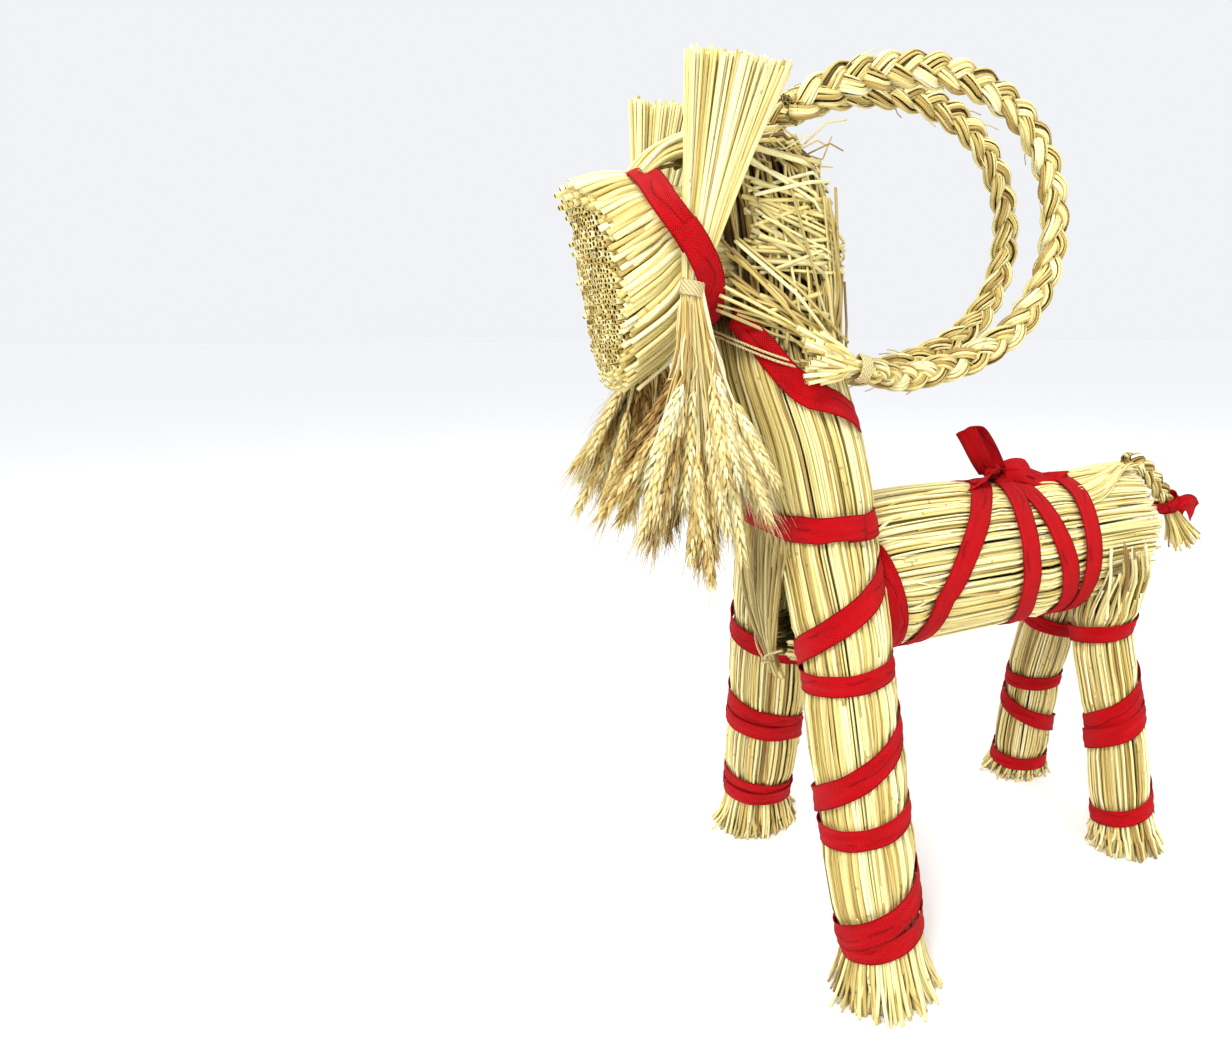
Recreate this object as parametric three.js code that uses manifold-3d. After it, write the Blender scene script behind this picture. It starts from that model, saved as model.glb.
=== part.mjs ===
// A straw yule goat, in millimetres. +Z is up, the goat faces -Y and its left side is +X.
// The floor is z = 0. Straw bundles are lofts, tapes are flat strips laid on them.
import * as THREE from 'three';
import { mergeVertices } from 'three/addons/utils/BufferGeometryUtils.js';
import Module from 'manifold-3d';

const wasm = await Module();
wasm.setup();
const group = new THREE.Group();

// Driving dimensions.
const SKIN = 0.35;            // gap between two straw bundles that touch
const TAPE_WIDTH = 14;
const TAPE_THICK = 0.8;
const UNDER = 1.1;            // lift of a tape that lies on the straw
const OVER = 2.4;             // lift of a tape that crosses another tape
const THREAD = 2.4;           // thickness of a wound thread tie
const HORN_X = 24;            // half the distance between the two horn rings
const HORN_R = 9;             // half the thickness of a horn plait
const BODY_Z = 209.5;         // height of the body bundle's centre line
const SIDES = 16;             // sides of a straw bundle

const vec = (x, y, z) => new THREE.Vector3(x, y, z);
const X = vec(1, 0, 0);
const Y = vec(0, 1, 0);
const Z = vec(0, 0, 1);

// ---------------------------------------------------------------- solids

// A closed solid through rings of points. A looped one joins its last ring to its first.
function loft(rings, looped = false) {
  const count = rings[0].length;
  const points = rings.flat();
  const faces = [];
  const last = looped ? rings.length : rings.length - 1;
  for (let i = 0; i < last; i++) {
    const here = i * count;
    const next = ((i + 1) % rings.length) * count;
    for (let j = 0; j < count; j++) {
      const k = (j + 1) % count;
      faces.push(here + j, here + k, next + k, here + j, next + k, next + j);
    }
  }
  if (!looped) {
    for (const [start, flip] of [[0, true], [(rings.length - 1) * count, false]]) {
      const middle = vec(0, 0, 0);
      for (let j = 0; j < count; j++) middle.add(points[start + j]);
      points.push(middle.divideScalar(count));
      for (let j = 0; j < count; j++) {
        const pair = [start + j, start + (j + 1) % count];
        if (flip) pair.reverse();
        faces.push(...pair, points.length - 1);
      }
    }
  }
  return outward(points, faces);
}

// The geometry with its faces turned outwards.
function outward(points, faces) {
  let volume = 0;
  for (let i = 0; i < faces.length; i += 3) {
    const [a, b, c] = [0, 1, 2].map((j) => points[faces[i + j]]);
    volume += a.dot(b.clone().cross(c));
  }
  if (volume < 0) faces.reverse();
  const geometry = new THREE.BufferGeometry();
  geometry.setAttribute('position', new THREE.Float32BufferAttribute(points.flatMap((p) => p.toArray()), 3));
  geometry.setIndex(faces);
  return geometry;
}

function solidOf(geometry) {
  const clean = new THREE.BufferGeometry();
  clean.setAttribute('position', geometry.getAttribute('position'));
  clean.setIndex(geometry.getIndex());
  const merged = mergeVertices(clean, 1e-4);
  return new wasm.Manifold(new wasm.Mesh({
    numProp: 3,
    vertProperties: new Float32Array(merged.getAttribute('position').array),
    triVerts: new Uint32Array(merged.getIndex().array),
  }));
}

// The geometry without the space that the others take. Only its largest piece is kept.
function carve(geometry, ...others) {
  let left = solidOf(geometry);
  for (const other of others) left = left.subtract(solidOf(other));
  const pieces = left.decompose();
  pieces.sort((a, b) => b.volume() - a.volume());
  const mesh = pieces[0].getMesh();
  const result = new THREE.BufferGeometry();
  result.setAttribute('position', new THREE.BufferAttribute(mesh.vertProperties, 3));
  result.setIndex(new THREE.BufferAttribute(mesh.triVerts, 1));
  return result;
}

function add(name, geometry, colour) {
  const mesh = new THREE.Mesh(geometry, new THREE.MeshStandardMaterial({ color: colour }));
  mesh.name = name;
  group.add(mesh);
  return mesh;
}

const STRAW = 0xd9bd7c;
const RED = 0xb5121b;
const TWINE = 0xcdb98a;

// ---------------------------------------------------------------- bundles

// A bundle has stations [x, y, z, a, b, e]: its centre, its half sizes across and deep, and e,
// which is 2 for an ellipse and more for a squarer section. flat gives its two section
// directions; without it the sections turn with the centre line.
function bundle(stations, flat = null) {
  const read = (i) => new THREE.CatmullRomCurve3(
    stations.map((s) => vec(...[0, 1, 2].map((j) => s[i + j] ?? 2))), false, 'centripetal');
  const centre = read(0);
  const at = (t) => {
    const last = stations.length - 1;
    const i = Math.min(Math.floor(t * last), last - 1);
    const f = t * last - i;
    const mix = (j) => (stations[i][j] ?? 2) * (1 - f) + (stations[i + 1][j] ?? 2) * f;
    const along = centre.getTangent(t);
    const u = flat ? flat[0].clone() : X.clone().addScaledVector(along, -X.dot(along)).normalize();
    const v = flat ? flat[1].clone() : along.clone().cross(u).normalize();
    return { c: centre.getPoint(t), u, v, a: mix(3), b: mix(4), e: mix(5) };
  };
  return { stations, at };
}

// A point on a bundle's skin and the direction out of it. The angle runs from u to v.
function skin(s, angle, lift = 0) {
  const bend = (w) => Math.sign(w) * Math.abs(w) ** (2 / s.e);
  const cos = bend(Math.cos(angle));
  const sin = bend(Math.sin(angle));
  const out = s.u.clone().multiplyScalar(cos / s.a).addScaledVector(s.v, sin / s.b).normalize();
  const p = s.c.clone().addScaledVector(s.u, s.a * cos).addScaledVector(s.v, s.b * sin);
  return { p: p.addScaledVector(out, lift), out };
}

// A place for a tape on a bundle's skin at t: out is square to the skin there.
function place(b, t, angle, lift) {
  const here = skin(b.at(t), angle).p;
  const ahead = skin(b.at(Math.min(t + 0.01, 1)), angle).p;
  const behind = skin(b.at(Math.max(t - 0.01, 0)), angle).p;
  const left = skin(b.at(t), angle + 0.02).p;
  const right = skin(b.at(t), angle - 0.02).p;
  const out = left.sub(right).cross(ahead.sub(behind)).normalize();
  if (out.dot(skin(b.at(t), angle).out) < 0) out.negate();
  return { p: here.addScaledVector(out, lift), out };
}

function ring(s, grow = 0, sides = SIDES) {
  const points = [];
  for (let j = 0; j < sides; j++) {
    points.push(skin({ ...s, a: s.a + grow, b: s.b + grow }, 2 * Math.PI * j / sides).p);
  }
  return points;
}

function bundleSolid(b, { grow = 0, steps = 2, sides = SIDES } = {}) {
  const rings = [];
  const total = (b.stations.length - 1) * steps;
  for (let i = 0; i <= total; i++) rings.push(ring(b.at(i / total), grow, sides));
  return loft(rings);
}

function mirrored(geometry) {
  const copy = geometry.clone();
  copy.applyMatrix4(new THREE.Matrix4().makeScale(-1, 1, 1));
  const index = Array.from(copy.getIndex().array);
  copy.setIndex(index.reverse());
  return copy;
}

function addPair(name, geometry, colour) {
  add(`${name}_left`, geometry, colour);
  add(`${name}_right`, mirrored(geometry), colour);
}

// ---------------------------------------------------------------- tapes

// A flat strip through places {p, out}, where out is the direction that its face looks.
function strip(places, { width = TAPE_WIDTH, thick = TAPE_THICK, looped = false } = {}) {
  const rings = places.map(({ p, out }, i) => {
    const n = places.length;
    const before = places[looped ? (i + n - 1) % n : Math.max(i - 1, 0)].p;
    const after = places[looped ? (i + 1) % n : Math.min(i + 1, n - 1)].p;
    const along = after.clone().sub(before).normalize();
    const side = along.clone().cross(out).normalize().multiplyScalar(width / 2);
    const up = side.clone().cross(along).normalize().multiplyScalar(thick);
    if (up.dot(out) < 0) up.negate();
    const low = p.clone().sub(side);
    const high = p.clone().add(side);
    return [low, high, high.clone().add(up), low.clone().add(up)];
  });
  return loft(rings, looped);
}

// Linear interpolation in a list of [key, value...] rows with rising keys.
function between(rows, key) {
  let i = 0;
  while (i < rows.length - 2 && key > rows[i + 1][0]) i++;
  const [low, high] = [rows[i], rows[i + 1]];
  const f = Math.min(Math.max((key - low[0]) / (high[0] - low[0]), 0), 1);
  return low.slice(1).map((v, j) => v * (1 - f) + high[j + 1] * f);
}

// A tape that winds down an upright bundle. rows are [degrees, height, lift].
function winding(b, rows, step = 20) {
  const degrees = rows.map((r) => r[0]);
  const first = degrees[0];
  const turn = Math.sign(degrees.at(-1) - first);
  const keyed = rows.map((r) => [Math.abs(r[0] - first), r[1], r[2]]);
  const places = [];
  for (let d = 0; d <= keyed.at(-1)[0]; d += step) {
    const [height, lift] = between(keyed, d);
    places.push(place(b, heightToT(b, height), THREE.MathUtils.degToRad(first + turn * d), lift));
  }
  return strip(places);
}

function heightToT(b, height) {
  let low = 0;
  let high = 1;
  for (let i = 0; i < 30; i++) {
    const mid = (low + high) / 2;
    if (b.at(mid).c.z < height) low = mid;
    else high = mid;
  }
  return low;
}

// ---------------------------------------------------------------- the straw bundles

const level = [X, Y];

// The left front bundle runs from its foot up the leg, the neck and the head.
const FRONT = [
  [97, -109.5, 0, 30, 29, 2],
  [95, -109.5, 9, 28.6, 27.6, 2],
  [92.5, -109.5, 24, 26.8, 25.8, 2],
  [73, -109.5, 88, 26.8, 25.8, 2],
  [57, -109.5, 157, 26.6, 25.8, 2],
  [43.5, -109.5, 204, 27, 26.5, 2],
  [29, -109.5, 240, 28.3, 27.6, 2.3],
  [27.6, -110, 256, 27.2, 26.8, 2.4],
  [26, -116.5, 296, 25.6, 26.5, 2.4],
  [21.6, -127.5, 345, 21.2, 27.5, 2.3],
  [18.6, -129, 400, 18.2, 36, 2.2],
  [16.4, -134.5, 438, 16, 31.5, 2.1],
  [13.4, -136, 450, 12.9, 23, 2],
];
const frontBundle = bundle(FRONT, level);
const front = bundleSolid(frontBundle);
const frontGrown = bundleSolid(frontBundle, { grow: SKIN });
const frontRoom = bundleSolid(frontBundle, { grow: 4 });
addPair('front_bundle', front, STRAW);

// The head's outline round both front bundles, on which the straw windings lie.
const headOutline = bundle([
  [0, -109, 240, 58, 30, 3.2],
  [0, -110, 256, 56, 28.5, 3.2],
  [0, -116.5, 296, 53, 28, 3.2],
  [0, -127.5, 345, 44.4, 29, 3],
  [0, -129, 400, 38.8, 37.5, 2.9],
  [0, -134.5, 438, 34, 33, 2.9],
  [0, -136, 450, 28, 24.5, 2.9],
], level);

// The body bundle lies between the front bundles and is open at its cut rear end.
const bodyBundle = bundle([
  [0, -139, 194, 14, 26, 2],
  [0, -112, 198, 32, 38, 2],
  [0, -82, 207, 46, 48, 2],
  [0, -40, BODY_Z, 49.5, 49.5, 2],
  [0, 60, BODY_Z, 48.5, 48.5, 2],
  [0, 120, BODY_Z + 0.5, 46.5, 47, 2],
  [0, 138, BODY_Z, 45.5, 45.5, 2],
  [0, 146, BODY_Z, 44, 43.5, 2],
  [0, 152, BODY_Z, 41, 40, 2],
], [X, Z]);
const body = bundleSolid(bodyBundle);
const neckRoom = bundleSolid(headOutline, { grow: 3 });
add('body_bundle', carve(body, frontRoom, mirrored(frontRoom), neckRoom), STRAW);
const bodyGrown = bundleSolid(bodyBundle, { grow: SKIN });

// The left rear leg stands under the body and its straws flare up the body's side.
const rearBundle = bundle([
  [62, 109.5, 0, 26, 25, 2],
  [60, 109.5, 9, 24.4, 23.4, 2],
  [57, 109.5, 20, 22.6, 21.8, 2],
  [43.5, 109.5, 90, 21.8, 21.4, 2],
  [27.5, 109.5, 143, 22.2, 21.6, 2],
  [28, 109.5, 166, 26.5, 21.5, 2],
  [42, 108, 196, 21, 19.5, 2],
  [50, 107, 224, 7.5, 17, 2],
], level);
addPair('rear_leg', carve(bundleSolid(rearBundle), bodyGrown), STRAW);

// The muzzle bundle points forward and down from the head to its cut face.
const muzzleBundle = bundle([
  [0, -134, 393, 38, 55, 2.2],
  [0, -165, 388, 35.5, 53, 2.2],
  [0, -186, 381.5, 30.5, 49.5, 2.3],
  [0, -203, 375.5, 27, 50, 2.5],
  [0, -219, 370.5, 23.5, 52.5, 2.8],
]);
const muzzle = carve(bundleSolid(muzzleBundle, { sides: 28 }), frontGrown, mirrored(frontGrown));
add('muzzle_bundle', muzzle, STRAW);

// ---------------------------------------------------------------- ears and beard

// One sheaf a side is tied to the cheek: its stalk ends fan up as the ear and its heads
// hang down as half of the beard.
const sheafBundle = bundle([
  [54, -157, 476, 7, 27, 2],
  [52, -163, 450, 7.5, 21.5, 2],
  [48.5, -171, 415, 7, 12.5, 2],
  [44.6, -177, 385, 6, 7.2, 2],
  [43.8, -178.5, 372, 5.8, 6.4, 2],
  [44.4, -181, 352, 6.8, 8.5, 2],
  [46, -188, 316, 10.5, 22, 2],
  [46.5, -193, 274, 12.5, 37, 2],
  [45.5, -187, 232, 8, 29, 2],
]);
addPair('rye_sheaf', bundleSolid(sheafBundle, { sides: 18 }), STRAW);

// A thread tie: a closed ring of thickness THREAD wound round a bundle at t.
function tie(b, t, length, lift = 0.4, thick = THREAD) {
  const span = length / 2 / b.at(0).c.distanceTo(b.at(1).c);
  const rings = [];
  for (let j = 0; j < 20; j++) {
    const angle = 2 * Math.PI * j / 20;
    const low = b.at(Math.max(t - span, 0));
    const high = b.at(Math.min(t + span, 1));
    rings.push([
      skin(low, angle, lift).p,
      skin(high, angle, lift).p,
      skin(high, angle, lift + thick).p,
      skin(low, angle, lift + thick).p,
    ]);
  }
  return loft(rings, true);
}
addPair('sheaf_tie', tie(sheafBundle, 0.5, 9, 0.5), TWINE);

// ---------------------------------------------------------------- horns

// The left horn plait starts on the head behind the ear, runs a full ring back over the
// neck, and ends in a frayed tuft tied beside the neck.
const hornBundle = bundle([
  [HORN_X, -124, 462, 8.6, 8.6],
  [HORN_X, -92, 480, HORN_R, HORN_R],
  [HORN_X, -56, 490, HORN_R, HORN_R],
  [HORN_X, -20, 491, HORN_R, HORN_R],
  [HORN_X, 14, 481, HORN_R, HORN_R],
  [HORN_X, 39, 459, HORN_R, HORN_R],
  [HORN_X, 51, 427, HORN_R, HORN_R],
  [HORN_X, 48, 393, HORN_R, HORN_R],
  [HORN_X, 29, 361, HORN_R, HORN_R],
  [HORN_X, -3, 341, HORN_R, HORN_R],
  [HORN_X + 1, -36, 332, 8.6, 8.6],
  [HORN_X + 8, -62, 329, 8.2, 8.2],
  [HORN_X + 23, -86, 332, 7.4, 7.4],
  [HORN_X + 31, -101, 336, 6.4, 6.4],
  [HORN_X + 32, -118, 341, 5.6, 9],
  [HORN_X + 30, -135, 345, 5, 12.5],
]);
addPair('horn_plait', bundleSolid(hornBundle, { sides: 12, steps: 2 }), STRAW);
addPair('horn_tie', tie(hornBundle, 13 / 15, 6, 1.3, 1.6), TWINE);

// ---------------------------------------------------------------- tail

const tailBundle = bundle([
  [0, 140, 267, 8.4, 7.6],
  [0, 158, 266, 9, 8.6],
  [0, 172, 257, 9, 8.8],
  [0, 184, 245, 9, 8.8],
  [0, 194, 232.5, 8.6, 8.6],
  [0, 201, 222, 7.6, 7.6],
]);
add('tail_plait', bundleSolid(tailBundle, { sides: 14 }), STRAW);
const tasselBundle = bundle([
  [0, 201.5, 221.2, 7.4, 7.4],
  [0, 206, 214, 8.4, 8.4],
  [0, 217, 203, 13, 11.5],
  [0, 225.9, 193, 15.5, 12.5],
]);
add('tail_tassel', bundleSolid(tasselBundle, { sides: 14 }), STRAW);
add('tail_ribbon', tie(tailBundle, 0.86, 10, 0.5, 1.6), RED);
add('tail_ribbon_end', strip([
  { p: vec(13, 197, 231), out: vec(1, 0, 0.2) },
  { p: vec(15, 206, 231), out: vec(1, -0.2, 0) },
  { p: vec(14, 216, 228), out: vec(1, 0.2, 0) },
  { p: vec(12, 225, 223), out: vec(1, 0, 0.2) },
], { width: 13 }), RED);

// ---------------------------------------------------------------- criss-cross head windings

// Part of a winding round the head from one degree to another, falling or rising with tilt.
function headWinding(height, tilt, from, to, lift, width) {
  const places = [];
  for (let d = from; d <= to; d += 9) {
    const angle = THREE.MathUtils.degToRad(d);
    const z = height + tilt * Math.sin(angle);
    places.push(place(headOutline, heightToT(headOutline, z), angle, lift));
  }
  return strip(places, { width, thick: 1.6 });
}
add('head_winding_upper', headWinding(424, 8, -18, 198, 1.6, 13), STRAW);
add('head_winding_middle', headWinding(396, -3, -18, 198, 1.6, 15), STRAW);
add('head_winding_lower', headWinding(368, 8, -18, 198, 1.6, 12), STRAW);

// ---------------------------------------------------------------- red tapes

// The tape round both neck halves.
function neckBand(height, tilt, lift) {
  const places = [];
  for (let d = 0; d < 360; d += 10) {
    const angle = THREE.MathUtils.degToRad(d);
    const z = height + tilt * Math.sin(angle);
    places.push(place(headOutline, heightToT(headOutline, z), angle, lift));
  }
  return strip(places, { looped: true });
}
add('neck_tape', neckBand(252, 0, 1), RED);

// A tape round the body. rows are [degrees from +X up, y] for the left side, and the right
// side repeats them. It is a closed ring, or open at the top above the angle top.
function bodyTape(rows, lift, top = 90) {
  const places = [];
  const looped = top === 90;
  const end = looped ? -260 : -180 - top;
  for (let d = top; d >= end; d -= 10) {
    const [y] = between(rows, d >= -90 ? d : -180 - d);
    places.push(place(bodyBundle, yToT(bodyBundle, y), THREE.MathUtils.degToRad(d), lift));
  }
  return strip(places, { looped });
}

function yToT(b, y) {
  let low = 0;
  let high = 1;
  for (let i = 0; i < 30; i++) {
    const mid = (low + high) / 2;
    if (b.at(mid).c.y < y) low = mid;
    else high = mid;
  }
  return low;
}
add('body_tape_front', bodyTape([[-90, -64], [-52, -67], [-4, -74], [30, -73.5]], OVER, 20), RED);
add('body_tape_2', bodyTape([[-90, -50], [-63, -49], [-12, -41], [14, -27], [42, -8], [87, 16], [90, 16]], UNDER), RED);
add('body_tape_3', bodyTape([[-90, 34], [-53, 31], [-24, 25], [7, 23], [37, 25], [68, 30], [90, 32]], OVER), RED);
add('body_tape_4', bodyTape([[-90, 66], [-35, 64], [-4, 56], [24, 49], [55, 43], [90, 39]], UNDER), RED);
add('body_tape_5', bodyTape([[-90, 79], [-65, 79], [-3, 76], [25, 77], [55, 80], [90, 78]], OVER), RED);

// The tapes that wind down the legs. Each row is [degrees, height, lift].
add('front_leg_tape_left', winding(frontBundle, [
  [60, 226, OVER], [-120, 178, OVER], [-300, 174, UNDER], [-480, 165, UNDER],
  [-660, 147, OVER], [-840, 101, OVER], [-1020, 96, UNDER], [-1200, 84, UNDER],
  [-1380, 60, OVER], [-1560, 30, OVER], [-1740, 40, UNDER], [-1920, 26, UNDER],
]), RED);
add('front_leg_tape_right', mirrored(winding(frontBundle, [
  [20, 188, OVER], [-68, 171, OVER], [-248, 141, OVER], [-428, 113, OVER],
  [-608, 85, OVER], [-788, 97, UNDER], [-968, 79, UNDER], [-1148, 48, OVER],
  [-1328, 28, OVER], [-1508, 33, UNDER], [-1688, 24, UNDER],
])), RED);
add('rear_leg_tape_left', winding(rearBundle, [
  [43, 157, OVER], [-137, 145, OVER], [-317, 113, OVER], [-497, 81, OVER],
  [-677, 94, UNDER], [-857, 69, UNDER], [-1037, 33, UNDER], [-1217, 18, UNDER],
  [-1397, 26, OVER],
]), RED);
add('rear_leg_tape_right', mirrored(winding(rearBundle, [
  [-29, 150, UNDER], [-49, 148, UNDER], [-229, 132, UNDER], [-409, 88, UNDER],
  [-589, 89, UNDER], [-769, 73, OVER], [-949, 46, OVER], [-1129, 17, UNDER],
  [-1309, 14, UNDER], [-1489, 20, OVER],
])), RED);

// A tape pinches the muzzle behind its face, under the sheaf ties.
function muzzleBand(t, lift) {
  const places = [];
  for (let d = 0; d < 360; d += 10) places.push(place(muzzleBundle, t, THREE.MathUtils.degToRad(d), lift));
  return strip(places, { looped: true });
}
add('muzzle_tape', muzzleBand(0.45, 0.9), RED);

// A tape slants back down each cheek and crosses behind the neck. The rows are
// [degrees from +X towards the back, height].
function neckCross(rows, lift) {
  const places = [];
  const first = rows[0][0];
  for (let d = first; d <= 180 - first; d += 9) {
    const [height] = between(rows, d <= 90 ? d : 180 - d);
    places.push(place(headOutline, heightToT(headOutline, height), THREE.MathUtils.degToRad(d), lift));
  }
  return strip(places);
}
add('neck_cross_tape', neckCross([[-36, 348], [-18, 334], [0, 321], [45, 308], [90, 302]], 1.4), RED);

// ---------------------------------------------------------------- the bow

const KNOT = vec(0, 29, BODY_Z + 56.5);
const knot = new THREE.IcosahedronGeometry(6.4, 2).scale(0.9, 1.1, 0.62).translate(...KNOT.toArray());
add('bow_knot', mergeVertices(new THREE.BufferGeometry().setAttribute('position', knot.getAttribute('position'))), RED);

// A strip through hand-set points in the bow's plane, [x, y, z] from the knot.
function ribbon(points, width) {
  const curve = new THREE.CatmullRomCurve3(points.map((p) => vec(...p).add(KNOT)), false, 'centripetal');
  const places = [];
  const steps = 8 * (points.length - 1);
  for (let i = 0; i <= steps; i++) {
    const along = curve.getTangent(i / steps);
    places.push({ p: curve.getPoint(i / steps), out: X.clone().cross(along).normalize() });
  }
  return strip(places, { width, thick: 0.8 });
}
add('bow_loop_front', ribbon(
  [[0, -7.5, 2.5], [1, -22, 18], [1, -32, 26], [0, -26, 30], [-1, -12, 19], [0, -4.4, 6.5]], 13), RED);
add('bow_loop_rear', ribbon(
  [[0, 7.5, 1.5], [1, 22, 8], [1, 34, 13], [0, 36, 6], [-1, 22, 0.5], [0, 9.5, -2.8]], 13), RED);
add('bow_tail_front', ribbon([[14, -5, 0.5], [17, -14, -1], [22, -24, -4.5], [26, -31, -6]], 12), RED);
add('bow_tail_rear', ribbon([[14, 7, 0.5], [17, 20, 4.5], [20, 34, 8], [22, 47, 9]], 12), RED);

// ---------------------------------------------------------------- the chest tie

// A thread hangs in a V between the front legs, under the body's front end.
const chestThread = bundle([
  [-9, -141.5, 186, 1.3, 1.3],
  [0, -143.5, 164, 1.3, 1.3],
  [9, -141.5, 186, 1.3, 1.3],
], [Y, Z]);
add('chest_tie', bundleSolid(chestThread, { sides: 8, steps: 4 }), TWINE);

export default group;
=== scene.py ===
"""A straw yule goat. Lengths in the shape code are millimetres, and Piece.finish turns them into metres."""
import math

import bpy
import numpy as np
from mathutils import Matrix, Vector


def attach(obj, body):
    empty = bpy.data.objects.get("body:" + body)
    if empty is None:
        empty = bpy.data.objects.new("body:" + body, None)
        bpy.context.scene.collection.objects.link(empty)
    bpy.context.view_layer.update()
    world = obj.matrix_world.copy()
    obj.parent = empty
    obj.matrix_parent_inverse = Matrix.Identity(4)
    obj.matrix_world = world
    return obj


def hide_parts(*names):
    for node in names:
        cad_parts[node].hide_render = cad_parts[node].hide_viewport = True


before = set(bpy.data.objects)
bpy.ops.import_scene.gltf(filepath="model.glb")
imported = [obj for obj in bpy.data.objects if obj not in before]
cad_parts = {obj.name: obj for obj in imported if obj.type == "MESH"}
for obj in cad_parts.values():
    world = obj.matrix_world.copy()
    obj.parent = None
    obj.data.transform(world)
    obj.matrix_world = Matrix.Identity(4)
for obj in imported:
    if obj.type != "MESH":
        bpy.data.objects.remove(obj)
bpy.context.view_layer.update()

MM = 0.001
X, Y, Z = np.eye(3)
STRAW_R = 1.0            # radius of an ordinary straw
FILL_R = 1.2             # radius of the straws that fill a cut end
THREAD_R = 0.75
TAPE_WIDTH = 14.0
TAPE_THICK = 0.55
TAPE_PRESS = 2.0         # how far a tape presses the straw in
TAPE_REACH = 9.5         # how far from its middle a tape presses
BODY_Z = 209.5           # height of the body's axis
NECK_TAPE_Z = 252.0
HORN_X = 24.0            # how far each horn's ring is from the goat's middle
SIDE_NAMES = {1: "left", -1: "right"}


# ---------------------------------------------------------------- camera, floor and light

def add_camera():
    data = bpy.data.cameras.new("camera")
    data.sensor_width = 36.0
    data.lens = 24.84
    data.shift_x = -0.2124
    camera = bpy.data.objects.new("camera", data)
    bpy.context.scene.collection.objects.link(camera)
    place = (0.4465, -0.3151, 0.3532)
    azimuth, down = math.radians(60.2), math.radians(13.1)
    forward = Vector((-math.sin(azimuth) * math.cos(down), math.cos(azimuth) * math.cos(down),
                      -math.sin(down)))
    right = Vector((math.cos(azimuth), math.sin(azimuth), 0.0))
    up = right.cross(forward)
    turn = Matrix((right, up, -forward)).transposed().to_4x4()
    camera.matrix_world = Matrix.Translation(place) @ turn
    bpy.context.scene.camera = camera


def add_light(name, place, target, size, watts, colour=(1, 1, 1)):
    data = bpy.data.lights.new(name, "AREA")
    data.shape = "RECTANGLE"
    data.size, data.size_y = size
    data.energy = watts
    data.color = colour
    lamp = bpy.data.objects.new(name, data)
    bpy.context.scene.collection.objects.link(lamp)
    lamp.location = place
    lamp.rotation_euler = (Vector(target) - Vector(place)).to_track_quat("-Z", "Y").to_euler()


def add_studio():
    floor = bpy.data.meshes.new("floor")
    reach = 40.0
    corners = [(-reach, -reach, 0), (reach, -reach, 0), (reach, reach, 0), (-reach, reach, 0)]
    floor.from_pydata(corners, [], [(0, 1, 2, 3)])
    ground = bpy.data.objects.new("floor", floor)
    bpy.context.scene.collection.objects.link(ground)
    paint = bpy.data.materials.new("floor")
    paint.use_nodes = True
    shader = paint.node_tree.nodes["Principled BSDF"]
    shader.inputs["Base Color"].default_value = (0.92, 0.922, 0.925, 1)
    shader.inputs["Roughness"].default_value = 0.8
    shader.inputs["Emission Color"].default_value = (0.97, 0.98, 1.0, 1)
    shader.inputs["Emission Strength"].default_value = 0.08
    floor.materials.append(paint)

    world = bpy.data.worlds.new("world")
    world.use_nodes = True
    sky = world.node_tree.nodes["Background"]
    sky.inputs["Color"].default_value = (0.965, 0.975, 1.0, 1)
    sky.inputs["Strength"].default_value = 0.93
    bpy.context.scene.world = world

    add_light("key", (1.0, -1.1, 1.7), (0, -0.03, 0.25), (0.6, 0.6), 30, (1.0, 0.99, 0.96))
    add_light("top", (-0.5, 0.1, 2.0), (0, 0, 0.2), (1.0, 1.0), 12)
    add_light("side", (1.7, 0.9, 0.8), (0, 0.05, 0.25), (0.7, 0.7), 7)
    bpy.context.scene.view_settings.view_transform = "Standard"
    bpy.context.scene.view_settings.look = "Medium High Contrast"
    bpy.context.scene.view_settings.exposure = -0.27


# ---------------------------------------------------------------- materials

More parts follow.
